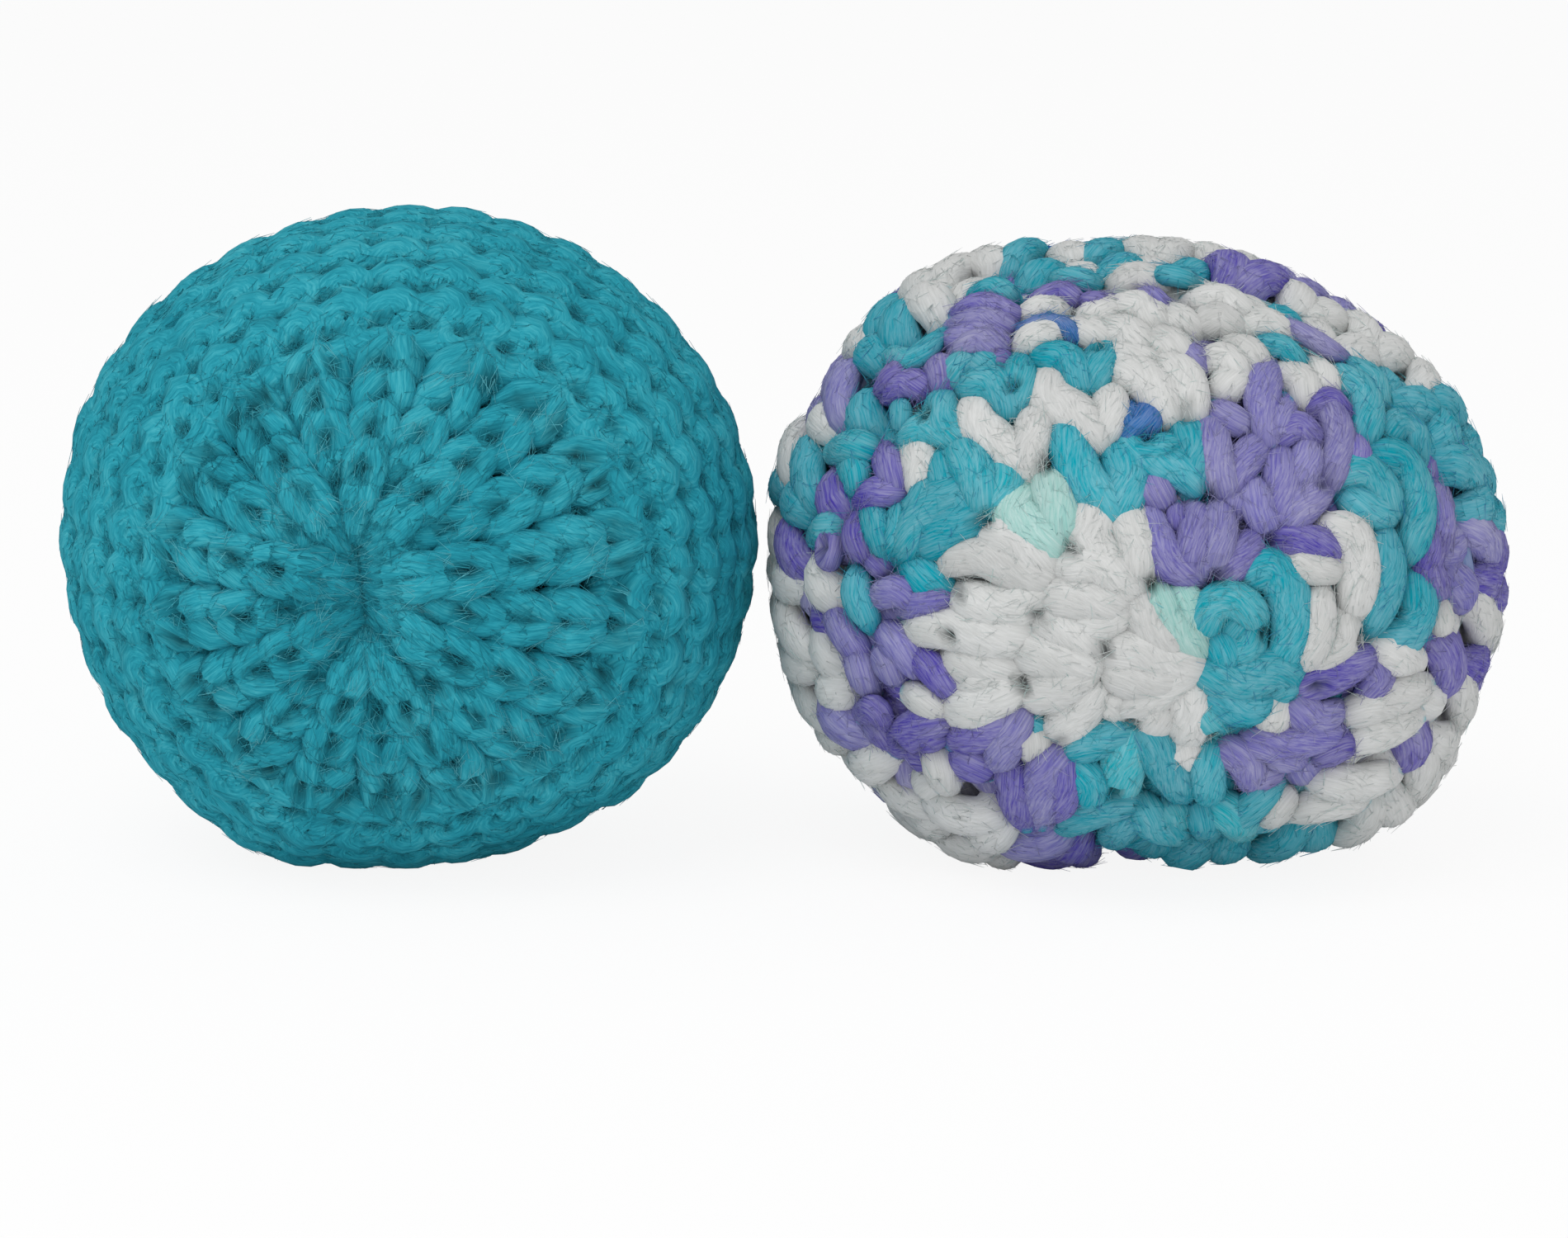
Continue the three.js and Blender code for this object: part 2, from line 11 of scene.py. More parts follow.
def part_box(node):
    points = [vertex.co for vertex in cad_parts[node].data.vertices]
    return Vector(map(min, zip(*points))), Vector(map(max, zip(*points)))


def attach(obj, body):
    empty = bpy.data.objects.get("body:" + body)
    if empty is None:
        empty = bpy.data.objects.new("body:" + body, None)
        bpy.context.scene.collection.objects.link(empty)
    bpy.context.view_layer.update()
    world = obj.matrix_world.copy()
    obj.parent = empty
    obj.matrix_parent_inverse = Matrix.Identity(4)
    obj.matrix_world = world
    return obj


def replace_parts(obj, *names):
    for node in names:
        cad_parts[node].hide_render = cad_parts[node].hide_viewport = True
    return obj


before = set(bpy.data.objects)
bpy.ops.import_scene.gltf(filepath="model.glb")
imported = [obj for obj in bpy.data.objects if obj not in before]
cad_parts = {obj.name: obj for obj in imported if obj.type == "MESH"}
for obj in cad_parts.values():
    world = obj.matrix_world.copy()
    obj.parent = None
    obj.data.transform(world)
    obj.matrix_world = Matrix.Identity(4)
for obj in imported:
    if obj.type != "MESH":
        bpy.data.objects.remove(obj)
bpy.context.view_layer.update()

scene = bpy.context.scene
scene.view_settings.view_transform = "Standard"
MM = 0.001

# The camera stands 45 cm away and looks down a little at the pair, as the photograph does.
# Its lens gives 14.6 pixels to a millimetre on a frame 1900 pixels wide.
FRAME_PIXELS = np.array([1900, 1500])
PIXELS_PER_MM = 14.6
CAMERA_DISTANCE = 450
CAMERA_RISE = 11
AIM_HEIGHT = 19.3
SENSOR_WIDTH = 36
NEAREST_SEEN = 10


def added(name, data):
    made = bpy.data.objects.new(name, data)
    scene.collection.objects.link(made)
    return made


camera_data = bpy.data.cameras.new("camera")
camera_data.sensor_width = SENSOR_WIDTH
camera_data.lens = PIXELS_PER_MM * CAMERA_DISTANCE * SENSOR_WIDTH / FRAME_PIXELS[0]
camera_data.clip_start = NEAREST_SEEN * MM
camera = added("camera", camera_data)
rise = math.radians(CAMERA_RISE)
camera.location = Vector((0, -math.cos(rise), math.sin(rise))) * CAMERA_DISTANCE * MM
camera.location.z += AIM_HEIGHT * MM
camera.rotation_euler = (math.pi / 2 - rise, 0, 0)
scene.camera = camera


class Wire:
    """Holds one socket of a material, so that the material's maths reads as plain sums."""

    def __init__(self, tree, socket=None):
        self.tree = tree
        self.socket = socket

    def into(self, node, key):
        self.tree.links.new(self.socket, node.inputs[key])

    def node(self, kind, sockets=None, output=0, **settings):
        made = self.tree.nodes.new(kind)
        for name, value in settings.items():
            setattr(made, name, value)
        for key, value in (sockets or {}).items():
            if isinstance(value, Wire):
                value.into(made, key)
            else:
                made.inputs[key].default_value = value
        return Wire(self.tree, made.outputs[output])

    def sum_of(self, operation, first, second):
        return self.node("ShaderNodeMath", {0: first, 1: second}, operation=operation)

    def __add__(self, other):
        return self.sum_of("ADD", self, other)

    def __sub__(self, other):
        return self.sum_of("SUBTRACT", self, other)

    def __rsub__(self, other):
        return self.sum_of("SUBTRACT", other, self)

    def __mul__(self, other):
        return self.sum_of("MULTIPLY", self, other)

    def mix(self, share, first, second):
        return self.node("ShaderNodeMix", {0: share, 6: first, 7: second}, 2, data_type="RGBA")

    def attribute(self, name, output):
        return self.node("ShaderNodeAttribute", None, output, attribute_name=name)

    def noise(self, scale, detail, roughness=0.5):
        """A noise at the place that this wire holds."""
        return self.node("ShaderNodeTexNoise", {
            "Vector": self, "Scale": scale, "Detail": detail, "Roughness": roughness})

    def ranged(self, low, high):
        """Rises from 0 where this wire is low to 1 where it is high."""
        return self.node("ShaderNodeMapRange", {0: self, 1: low, 2: high, 3: 0.0, 4: 1.0})

    def ramp(self, stops):
        """Runs through the colours of stops such as (0.3, "2f9baa")."""
        made = self.node("ShaderNodeValToRGB", {0: self})
        elements = made.socket.node.color_ramp.elements
        for extra in stops[2:]:
            elements.new(0.5)
        for element, (place, code) in zip(elements, stops):
            element.position = place
            element.color = colour(code)
        return made

    def emboss(self, finish, strength, distance):
        """The distance is in millimetres."""
        sockets = {"Height": self, "Strength": strength, "Distance": distance * MM}
        self.node("ShaderNodeBump", sockets).into(finish, "Normal")


def colour(code):
    """A screen colour such as "2f9baa", as the linear numbers that a material takes."""
    shares = [int(code[i:i + 2], 16) / 255 for i in (0, 2, 4)]
    return tuple(s / 12.92 if s < 0.04045 else ((s + 0.055) / 1.055) ** 2.4 for s in shares) + (1,)


def new_material(name, roughness=0.5, shine=0.5):
    material = bpy.data.materials.new(name)
    material.use_nodes = True
    tree = material.node_tree
    finish = tree.nodes["Principled BSDF"]
    finish.inputs["Roughness"].default_value = roughness
    finish.inputs["Specular IOR Level"].default_value = shine
    return material, finish, Wire(tree)


def looked_at(wire):
    """1 where the camera sees a surface, also mirrored or through something clear."""
    rays = [wire.node("ShaderNodeLightPath", None, "Is " + ray + " Ray")
            for ray in ("Camera", "Glossy", "Transmission")]
    return rays[0] + rays[1] + rays[2]


def mesh_of(shape, name):
    """A mesh of what a bmesh holds, which is then let go."""
    mesh = bpy.data.meshes.new(name)
    shape.to_mesh(mesh)
    shape.free()
    return mesh


# A pale sheet under the pair. The camera sees it nearly white, and it keeps a soft shadow.
WHITE = (1, 1, 1, 1)
FLOOR_SIZE = 6
FLOOR_ROUGHNESS = 0.9
FLOOR_GLOW = 0.9
shape = bmesh.new()
bmesh.ops.create_grid(shape, x_segments=1, y_segments=1, size=FLOOR_SIZE / 2)
floor_data = mesh_of(shape, "floor")
floor = added("floor", floor_data)
floor_paint, finish, wire = new_material("pale_floor", FLOOR_ROUGHNESS)
finish.inputs["Base Color"].default_value = WHITE
glow = wire.node("ShaderNodeEmission", {"Color": WHITE, "Strength": 1.0})
paint = Wire(wire.tree, finish.outputs[0])
both = wire.node("ShaderNodeMixShader", {0: looked_at(wire) * FLOOR_GLOW, 1: paint, 2: glow})
both.into(wire.tree.nodes["Material Output"], 0)
floor_data.materials.append(floor_paint)

# Soft studio light: an even white surround, a broad lamp above and in front, and a weak fill.
SURROUND = 0.55
LAMP_AIM = Vector((0, 0, 0.025))
world = bpy.data.worlds.new("surround")
scene.world = world
world.use_nodes = True
background = world.node_tree.nodes["Background"]
background.inputs["Color"].default_value = WHITE
surround = looked_at(Wire(world.node_tree)) * (1 - SURROUND) + SURROUND
surround.into(background, "Strength")


def soft_lamp(name, place, power, size):
    """Place and size are in metres, power in watts."""
    lamp_data = bpy.data.lights.new(name, "AREA")
    lamp_data.energy = power
    lamp_data.size = size
    lamp = added(name, lamp_data)
    lamp.location = place
    lamp.rotation_euler = (LAMP_AIM - lamp.location).to_track_quat("-Z", "Y").to_euler()


soft_lamp("top_lamp", (-0.25, -0.35, 0.8), 2.7, 0.6)
soft_lamp("front_fill", (0.1, -0.9, 0.25), 2.1, 0.6)

# Each ball's skin is the shape that its cover is stretched to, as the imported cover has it. Sizes
# are in millimetres from the ball's middle, and depths are measured in from the skin. Yarn is
# pressed flat on it.
FLATNESS = 0.73
KEPT_DEPTH = 0.5
SKIN_STEP = 0.01
TINY = 1e-12
SLIT_TILT = 6
HOLE_SPHERE = 28


def unit(vectors):
    return vectors / (np.linalg.norm(vectors, axis=-1, keepdims=True) + TINY)


def eased(share):
    """Goes from 0 to 1 as share does, but starts and ends slowly."""
    return share * share * (3 - 2 * share)


def facing(turn, rise):
    turn, rise = math.radians(turn), math.radians(rise)
    return np.array([math.sin(turn) * math.cos(rise), -math.cos(turn) * math.cos(rise),
                     math.sin(rise)])


def axes(pole):
    """The ways to the right and upwards, for someone who looks at the end of a pole."""
    right = unit(np.cross([0, 0, 1], pole))
    return right, np.cross(pole, right)


def tree_of(points):
    """Finds the nearest of the points."""
    tree = KDTree(len(points))
    for index, point in enumerate(points):
        tree.insert(point, index)
    tree.balance()
    return tree


class Ball:
    """A swell is its clock, height and width, the first and last in degrees. A hollow is its end,
    its depth and width, half the length of its slit, and its tilt in degrees."""

    def __init__(self, body, middle, crown, belly, half_width, half_depth, sag, swells, hollows,
                 turn, rise):
        self.body = body
        self.middle = np.array(middle)
        self.upright = (crown, belly)
        self.half = (half_width, half_depth)
        self.sag = sag
        self.swells = swells
        self.hollows = hollows
        self.pole = facing(turn, rise)
        self.right, self.up = axes(self.pole)

    def tilted(self, tilt):
        """The ways to the right and upwards, turned by a tilt in degrees."""
        across, along = math.cos(math.radians(tilt)), math.sin(math.radians(tilt))
        return self.right * across + self.up * along, self.up * across - self.right * along

    def reach(self, way):
        """How far the skin lies from the middle, along ways of length 1."""
        x, y, z = np.moveaxis(way, -1, 0)
        power = 2 + self.sag * eased(np.clip(-z, 0, 1))
        upright = np.where(z > 0, *self.upright)
        spread = (np.abs(x / self.half[0]) ** power + np.abs(y / self.half[1]) ** power
                  + np.abs(z / upright) ** power)
        far = spread ** (-1 / power)
        clock = np.degrees(np.arctan2(z, x))
        for at, out, width in self.swells:
            off = ((clock - at + 180) % 360 - 180) / width
            far = far + out * np.exp(-off * off) * (1 - y * y)
        for end, depth, width, slit, tilt in self.hollows:
            right, up = self.tilted(tilt)
            across, along = way @ right * self.half[1], way @ up * self.half[1]
            off = np.hypot(across, np.maximum(np.abs(along) - slit, 0)) / width
            far = far - np.where(way @ self.pole * end > 0, depth * np.exp(-off * off), 0)
        return far

    def skin(self, way):
        way = unit(way)
        return way * self.reach(way)[..., None]

    def way(self, polar, turn, pole):
        """The way at an angle from a pole, turned about it from the right-hand side."""
        right, up = axes(pole)
        polar, turn = np.broadcast_arrays(polar, turn)
        return (np.cos(polar)[..., None] * pole + (np.sin(polar) * np.cos(turn))[..., None] * right
                + (np.sin(polar) * np.sin(turn))[..., None] * up)

    def lay(self, place, u, v, lift, radius):
        """Points at place(u, v) on the skin, raised by lift along its normal. At the table they are
        kept above it, and deeper strands a share of their depth higher."""
        here = self.skin(place(u, v))
        du = self.skin(place(u + SKIN_STEP, v)) - self.skin(place(u - SKIN_STEP, v))
        dv = self.skin(place(u, v + SKIN_STEP)) - self.skin(place(u, v - SKIN_STEP))
        out = unit(np.cross(du, dv))
        out *= np.sign(np.sum(out * here, axis=-1, keepdims=True))
        point = here + out * lift[..., None] + self.middle
        low = radius * FLATNESS
        point[..., 2] = np.maximum(point[..., 2], low + np.maximum(-low - lift, 0) * KEPT_DEPTH)
        return point

    def pierce(self, points, reach):
        """Keeps where the holes between stitches are, and how far round each the yarn dips."""
        self.holes = tree_of(unit(points - self.middle) * HOLE_SPHERE)
        self.hole_reach = reach

    def from_hole(self, ways):
        """The distance to the nearest hole, as a share of the holes' reach."""
        return np.array([self.holes.find(way * HOLE_SPHERE)[2] for way in ways]) / self.hole_reach


# The knitted ball has a slit in front and a small opening behind.
knit = Ball("knit_footbag", (-30.93, -0.06, 26.3), crown=27.6, belly=27.9, half_width=29,
            half_depth=27, sag=0.1, swells=[(244, 1.1, 13), (298, -0.8, 18), (145, 0.4, 20)],
            hollows=[(1, 4.6, 2.2, 3.6, SLIT_TILT), (-1, 4, 3.2, 0, 0)], turn=-5.5, rise=0)

# Yarn is laid as curves with a round section, and then made into a mesh. Each point of it keeps
# its place round and along the yarn, which the streaks of its fibres follow, and its own map.
# Pulled tight and brushed, it lies flat on its ball, and the strands close up, apart from a small
# dark hole where the corners of four stitches meet. Round each hole the yarn dips in, and it is
# also painted darker there: painted shade.
YARN_TWIST = 0.24
HOLE_DEPTH = 1.2
WELD_DISTANCE = 1e-7
CAP_SPOT = 0.001
BAND_MARGIN = 0.05


def evaluated_mesh(made):
    """The final mesh of an object, which is then taken away."""
    bpy.context.view_layer.update()
    mesh = bpy.data.meshes.new_from_object(
        made.evaluated_get(bpy.context.evaluated_depsgraph_get()))
    bpy.data.objects.remove(made)
    return mesh


def swept(name, lines, radii, sides, cyclic):
    """A mesh of round tubes along lines of points in millimetres. Also says where its rings start."""
    section = bpy.data.curves.new(name + "_section", "CURVE")
    section.dimensions = "2D"
    ring = section.splines.new("POLY")
    ring.points.add(sides - 1)
    turns = np.arange(sides) * 2 * math.pi / sides
    flat = np.zeros(sides)
    ring.points.foreach_set("co", np.stack([np.cos(turns), np.sin(turns), flat, flat + 1], 1).ravel())
    ring.use_cyclic_u = True
    section_object = bpy.data.objects.new(name + "_section", section)
    line = bpy.data.curves.new(name + "_line", "CURVE")
    line.dimensions = "3D"
    line.bevel_mode = "OBJECT"
    line.bevel_object = section_object
    line.use_fill_caps = not cyclic
    line.twist_mode = "MINIMUM"
    for points, girth in zip(lines, radii):
        spline = line.splines.new("POLY")
        spline.points.add(len(points) - 1)
        spots = np.column_stack([points * MM, np.ones(len(points))])
        spline.points.foreach_set("co", spots.astype(np.float32).ravel())
        spline.points.foreach_set("radius", np.asarray(girth * MM, np.float32))
        spline.use_cyclic_u = cyclic
        spline.use_smooth = True
    mesh = evaluated_mesh(added(name + "_line", line))
    mesh.name = name
    bpy.data.objects.remove(section_object)
    while mesh.uv_layers:
        mesh.uv_layers.remove(mesh.uv_layers[0])
    return mesh, len(mesh.vertices) - sum(len(points) for points in lines) * sides


def read(mesh, part, name, kind=int):
    width = 3 if name == "co" else 1
    values = np.zeros(len(getattr(mesh, part)) * width, kind)
    getattr(mesh, part).foreach_get(name, values)
    return values


def points_of(mesh):
    """The points of a mesh, in millimetres."""
    return read(mesh, "vertices", "co", float).reshape(-1, 3) / MM


def move_points(mesh, points):
    mesh.vertices.foreach_set("co", (points * MM).astype(np.float32).ravel())


def write_attribute(mesh, name, kind, key, values):
    layer = mesh.attributes.new(name, kind, "POINT").data
    layer.foreach_set(key, values.astype(np.float32).ravel())


def write_map(mesh, spots):
    mesh.uv_layers.new(name="OFBake").data.foreach_set("uv", spots.astype(np.float32).ravel())


def close_ends(mesh):
    """The ends of a swept line are loose caps, so they are joined to it."""
    shape = bmesh.new()
    shape.from_mesh(mesh)
    bmesh.ops.remove_doubles(shape, verts=shape.verts, dist=WELD_DISTANCE)
    shape.to_mesh(mesh)
    shape.free()


def placed(name, mesh, ball, material):
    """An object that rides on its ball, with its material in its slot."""
    made = added(name, mesh)
    mesh.materials.clear()
    mesh.materials.append(material)
    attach(made, ball.body)
    return made


def settle(mesh, first, sides, lines, ball):
    """Presses the yarn flat on its ball and down round the holes, and marks how deep it lies there,
    for the painted shade in the holes.
    """
    points = points_of(mesh)
    core = np.repeat(np.concatenate(lines), sides, axis=0)
    out = unit(core - ball.middle)
    off = np.sum((points[first:] - core) * out, axis=1, keepdims=True)
    pressed = points[first:] - (1 - FLATNESS) * off * out
    if first:
        counts = np.cumsum([len(line) for line in lines])
        end_rings = np.concatenate([[0], counts[:-1], counts - 1])
        ends = (end_rings[:, None] * sides + np.arange(sides)).ravel()
        tree = tree_of(points[first + ends])
        points[:first] = pressed[[ends[tree.find(cap)[1]] for cap in points[:first]]]
    points[first:] = pressed
    out = unit(points - ball.middle)
    deep = np.exp(-ball.from_hole(out) ** 2)
    points -= out * deep[:, None] * HOLE_DEPTH
    move_points(mesh, points)
    write_attribute(mesh, "hole_shade", "FLOAT", "value", deep)


def run_length(points):
    """How far along its line each point lies."""
    return np.cumsum(np.linalg.norm(np.diff(points, axis=0, prepend=points[:1]), axis=1))


def spun(name, lines, radii, sides, ball, material, cyclic=False, dyes=None, pressed=False):
    """A yarn with the place of its fibres, its dye and one band of its map for each line."""
    mesh, first = swept(name, lines, radii, sides, cyclic)
    if pressed:
        settle(mesh, first, sides, lines, ball)
    counts = [len(points) for points in lines]
    along = np.repeat(np.concatenate([run_length(points) for points in lines]), sides)
    about = np.tile(np.arange(sides) * 2 * math.pi / sides, sum(counts)) + YARN_TWIST * along
    place = np.zeros((len(mesh.vertices), 3))
    place[first:] = np.stack([np.cos(about), np.sin(about), along], 1)
    write_attribute(mesh, "fibre_place", "FLOAT_VECTOR", "vector", place)
    if dyes is not None:
        tints = np.ones((len(mesh.vertices), 4))
        tints[first:, :3] = np.repeat(np.concatenate(dyes), sides, axis=0)
        tints[:first, :3] = dyes[0][0]
        write_attribute(mesh, "dye", "FLOAT_COLOR", "color", tints)
    corners = read(mesh, "loops", "vertex_index")
    face_of = np.repeat(np.arange(len(mesh.polygons)), read(mesh, "polygons", "loop_total"))
    at = np.maximum(corners - first, 0)
    ring = at // sides
    u = np.concatenate([np.arange(c) / c for c in counts])[ring]
    v = at % sides / sides
    for values in (u, v):
        top = np.zeros(len(mesh.polygons))
        np.maximum.at(top, face_of, values)
        values[(top[face_of] - values) > 0.5] += 1
    line_of = np.repeat(np.arange(len(counts)), counts)[ring]
    spots = np.stack([u, (line_of + BAND_MARGIN + (1 - 2 * BAND_MARGIN) * v) / len(lines)], 1)
    spots[corners < first] = CAP_SPOT
    write_map(mesh, spots)
    if not cyclic:
        close_ends(mesh)
    return placed(name, mesh, ball, material)


# Brushed acrylic yarn: its fibres show as fine streaks that run along it with a slow twist. A row
# of STREAKS gives how fine they are round and along the yarn, their detail and their share.
STREAKS = [((10, 10, 1.1), 3.0, 0.6), ((2.4, 2.4, 0.4), 2.0, 0.25)]
STREAK_ROUGHNESS = 0.6
BLOTCH_NOISE = (150.0, 2.0)
BLOTCH_SHARE = 0.3
VALUE_SHIFT = 0.075
DYE_SATURATION = 1.5
DYE_LOW, DYE_HIGH = 0.36, 0.66
# The yarn round the holes is painted darker towards this tone: painted shade.
PAINTED_HOLE_SHADE_TONE = "0c2429"
PAINTED_HOLE_SHADE = 0.92
YARN_RELIEF = (0.5, 0.3)


def yarn_material(name, tones, dyed=False):
    """The tones are stops of its ramp, or how far its dye is darkened and how far it is paled."""
    material, finish, wire = new_material(name, roughness=1.0, shine=0.1)
    spots = wire.node("ShaderNodeTexCoord", None, "Object")
    value = spots.noise(*BLOTCH_NOISE) * BLOTCH_SHARE - VALUE_SHIFT
    place = wire.attribute("fibre_place", "Vector")
    for grain, detail, share in STREAKS:
        spot = wire.node("ShaderNodeVectorMath", {0: place, 1: grain}, operation="MULTIPLY")
        value = value + spot.noise(1.0, detail, STREAK_ROUGHNESS) * share
    if dyed:
        dye = wire.attribute("dye", "Color")
        darkened, paled = tones
        deep = wire.node("ShaderNodeHueSaturation", {
            "Color": dye, "Saturation": DYE_SATURATION, "Value": darkened})
        tone = wire.mix(value.ranged(DYE_LOW, DYE_HIGH), deep, wire.mix(paled, dye, WHITE))
    else:
        tone = value.ramp(tones)
    # Near the holes the base colour is mixed towards a dark tone: painted shade.
    hole_shade = wire.attribute("hole_shade", "Fac")
    wire.mix(hole_shade * PAINTED_HOLE_SHADE, tone, colour(PAINTED_HOLE_SHADE_TONE)).into(finish, "Base Color")
    value.emboss(finish, *YARN_RELIEF)
    return material


# The knitted cover is worked in rounds of stitches. They start and end as ribs in its two ends,
# which are drawn shut to a slit in front and a small opening behind, and are purled in between.
KNIT_RING_POLAR = 47
RIBS = 18
FRONT_COURSES = 6
SIDE_COURSES = 11
SLIT_HALF_LENGTH = 0.15
BACK_OPENING = 0.03
ring_pole = facing(1, 0)
ring_polar = math.radians(KNIT_RING_POLAR)
rng = np.random.default_rng(5)


def to_slit(u, v, outer, middle, right, up, half_width, half_height):
    """v runs from 0 at a ring to 1 at the rim of a slit, as shares of the ball's radius."""
    rim = (middle + (np.cos(u) * half_width)[..., None] * right
           + (np.sin(u) * half_height)[..., None] * up)
    return outer * (1 - v[..., None]) + rim * v[..., None]


def front_place(u, v):
    return to_slit(u, v, knit.way(ring_polar, u, ring_pole), knit.pole, *knit.tilted(SLIT_TILT),
                   0.0, SLIT_HALF_LENGTH)


def side_place(u, v):
    """v runs from 0 at the front ring to 1 at the back ring."""
    return knit.way(ring_polar + (math.pi - 2 * ring_polar) * v, u, ring_pole)


def back_place(u, v):
    return to_slit(u, v, knit.way(math.pi - ring_polar, u, ring_pole), -knit.pole,
                   knit.right, knit.up, BACK_OPENING, BACK_OPENING)


def wander(count, per, sizes):
    """For each size a drift that changes smoothly from stitch to stitch, round a closed course."""
    spots = np.arange(count * per) / per
    low = np.floor(spots).astype(int)
    part = eased(spots - low)
    drifts = []
    for size in sizes:
        knots = rng.normal(0, size, count)
        drifts.append(knots[low % count] * (1 - part) + knots[(low + 1) % count] * part)
    return drifts


# The ribbed ends: on each rib a column of raised knit stitches, and between ribs a sunk bar.
# Towards the middle every second rib is squeezed narrow and slips behind its neighbours, and the
# last stitches crowd into the slit.
RIB_STEPS = 24
RING_REACH = 20.5
KNIT_SHARE_AT_RING, KNIT_SHARE_GROWTH = 0.57, 0.31
COURSE_START, COURSE_REACH = 0.55, 0.76
EDGE_START = -0.15
CROWDED, CROWDED_REACH, CROWDED_SLOPE = 0.8, 0.22, 0.18
PAIRED, PAIRED_OVER, PAIR_SHIFT, PAIR_SINK = 0.42, 0.4, 0.2, 0.9
LEG_LEAN = 0.28
RIB_GIRTH, RIB_GIRTH_GROWTH = 0.89, 0.09
RIB_DEPTH = 0.62
HEAD_EASE = 0.8
VALLEY_WIDTH, VALLEY_DEPTH, VALLEY_PITCH = 0.5, 2.0, 5
VALLEY_POWER = 1.5
SHUT_OVER, SHUT_SINK = 0.15, 0.1
# How uneven the stitches are: on, across, in thickness and outwards.
RIB_DRIFT = (0.07, 0.03, 0.05, 0.14)


def rib_course(place, course, hole_reach):
    """t counts the ribs, and v runs from 0 at the ring to 1 at the slit."""
    t = np.arange(RIBS * RIB_STEPS) / RIB_STEPS
    part = t % 1
    far = (course + 0.5) / FRONT_COURSES
    pitch = 2 * math.pi * (RING_REACH * (1 - far) + hole_reach) / RIBS
    knit_share = KNIT_SHARE_AT_RING + KNIT_SHARE_GROWTH * far
    phase = 2 * math.pi * np.clip((part - (1 - knit_share) / 2) / knit_share, 0, 1)
    ahead, aside, thicker, higher = wander(RIBS, RIB_STEPS, RIB_DRIFT)
    v = (course + COURSE_START + ahead - COURSE_REACH * np.cos(phase)) / FRONT_COURSES
    v = np.maximum(v, EDGE_START)
    squeezed = CROWDED + CROWDED_REACH * (1 - np.exp((CROWDED - v) / CROWDED_SLOPE))
    v = np.where(v > CROWDED, squeezed, v)
    near = eased(np.clip((v - PAIRED) / PAIRED_OVER, 0, 1))
    lean = LEG_LEAN * knit_share * np.sin(2 * phase)
    clock = t + lean + aside - PAIR_SHIFT * near * np.cos(math.pi * t)
    radius = (RIB_GIRTH + RIB_GIRTH_GROWTH * pitch) * (1 + thicker)
    depth = radius * RIB_DEPTH
    edge = 1 - np.exp(-(np.minimum(phase, 2 * math.pi - phase) / HEAD_EASE) ** 2)
    rib = 1 - np.abs(2 * part - 1)
    valley = np.clip(1 - rib / VALLEY_WIDTH, 0, 1) ** VALLEY_POWER
    lift = -radius * FLATNESS - depth - depth * np.cos(2 * phase) * edge
    lift = lift - VALLEY_DEPTH * valley * min(1, pitch / VALLEY_PITCH)
    lift = lift + PAIR_SINK * near * (np.sin(math.pi * t) - 1) + higher
    shut = np.clip((v - CROWDED) / SHUT_OVER, 0, 1)
    lift = lift * (1 - shut) - SHUT_SINK * radius * shut
    return knit.lay(place, clock * 2 * math.pi / RIBS, v, lift, radius), radius


# The side, seen from its purl side: the heads of the stitches stand in front as wide arcs, and
# their feet and legs lie behind. The first rounds stand out as a ridge round the ribs.
PURL_STEPS = 18
PURL_RADIUS = 2.35
PURL_START, PURL_REACH = 0.45, 0.62
PURL_LEAN, PURL_TILT = 0.13, 0.03
PURL_SINK, LEGS_SINK, FEET_SINK = 0.2, 0.22, 0.15
RIDGE_RISE, RIDGE_COURSES = 0.15, 0.9
# How uneven the stitches are: across, on, in thickness and outwards.
PURL_DRIFT = (0.05, 0.08, 0.05, 0.09)


def purl_course(course):
    stitches = 2 * RIBS
    t = np.arange(stitches * PURL_STEPS) / PURL_STEPS
    phase = 2 * math.pi * (t % 1)
    aside, ahead, thicker, higher = wander(stitches, PURL_STEPS, PURL_DRIFT)
    clock = t + PURL_LEAN * np.sin(2 * phase) + PURL_TILT * np.sin(phase) + aside
    v = (course + PURL_START + ahead + PURL_REACH * np.cos(phase)) / SIDE_COURSES
    radius = PURL_RADIUS * (1 + thicker)
    sunk = PURL_SINK + LEGS_SINK * (1 - np.cos(2 * phase)) + FEET_SINK * (1 - np.cos(phase))
    ridge = RIDGE_RISE * math.exp(-(course / RIDGE_COURSES) ** 2)
    lift = ridge + higher - radius * FLATNESS - sunk
    return knit.lay(side_place, clock * 2 * math.pi / stitches, v, lift, radius), radius


# Holes show in the middle of each V of the ribs, and between the stitches of the side. A row gives
# how many holes lie along and round, where the first lie in courses, and how far in they go.
KNIT_HOLES = [(front_place, FRONT_COURSES, FRONT_COURSES, RIBS, 0.81, 0.72),
              (back_place, FRONT_COURSES, FRONT_COURSES, RIBS, 0.81, 0.72),
              (side_place, SIDE_COURSES, SIDE_COURSES + 1, 2 * RIBS, -0.67, math.inf)]
# How far round each hole the yarn dips in and is painted darker: painted shade.
KNIT_HOLE_REACH = 0.62
KNIT_HOLE_DRIFT = (0.07, 0.05)
chance = np.random.default_rng(8)
holes = []
for place, courses, along, around, start, end in KNIT_HOLES:
    course, t = np.meshgrid(np.arange(along), np.arange(around) + 0.5)
    ahead, aside = [chance.normal(0, size, course.shape) for size in KNIT_HOLE_DRIFT]
    v = (course + start + ahead) / courses
    points = knit.skin(place((t + aside) * 2 * math.pi / around, v))
    holes.append(points[v < end] + knit.middle)
knit.pierce(np.concatenate(holes), KNIT_HOLE_REACH)

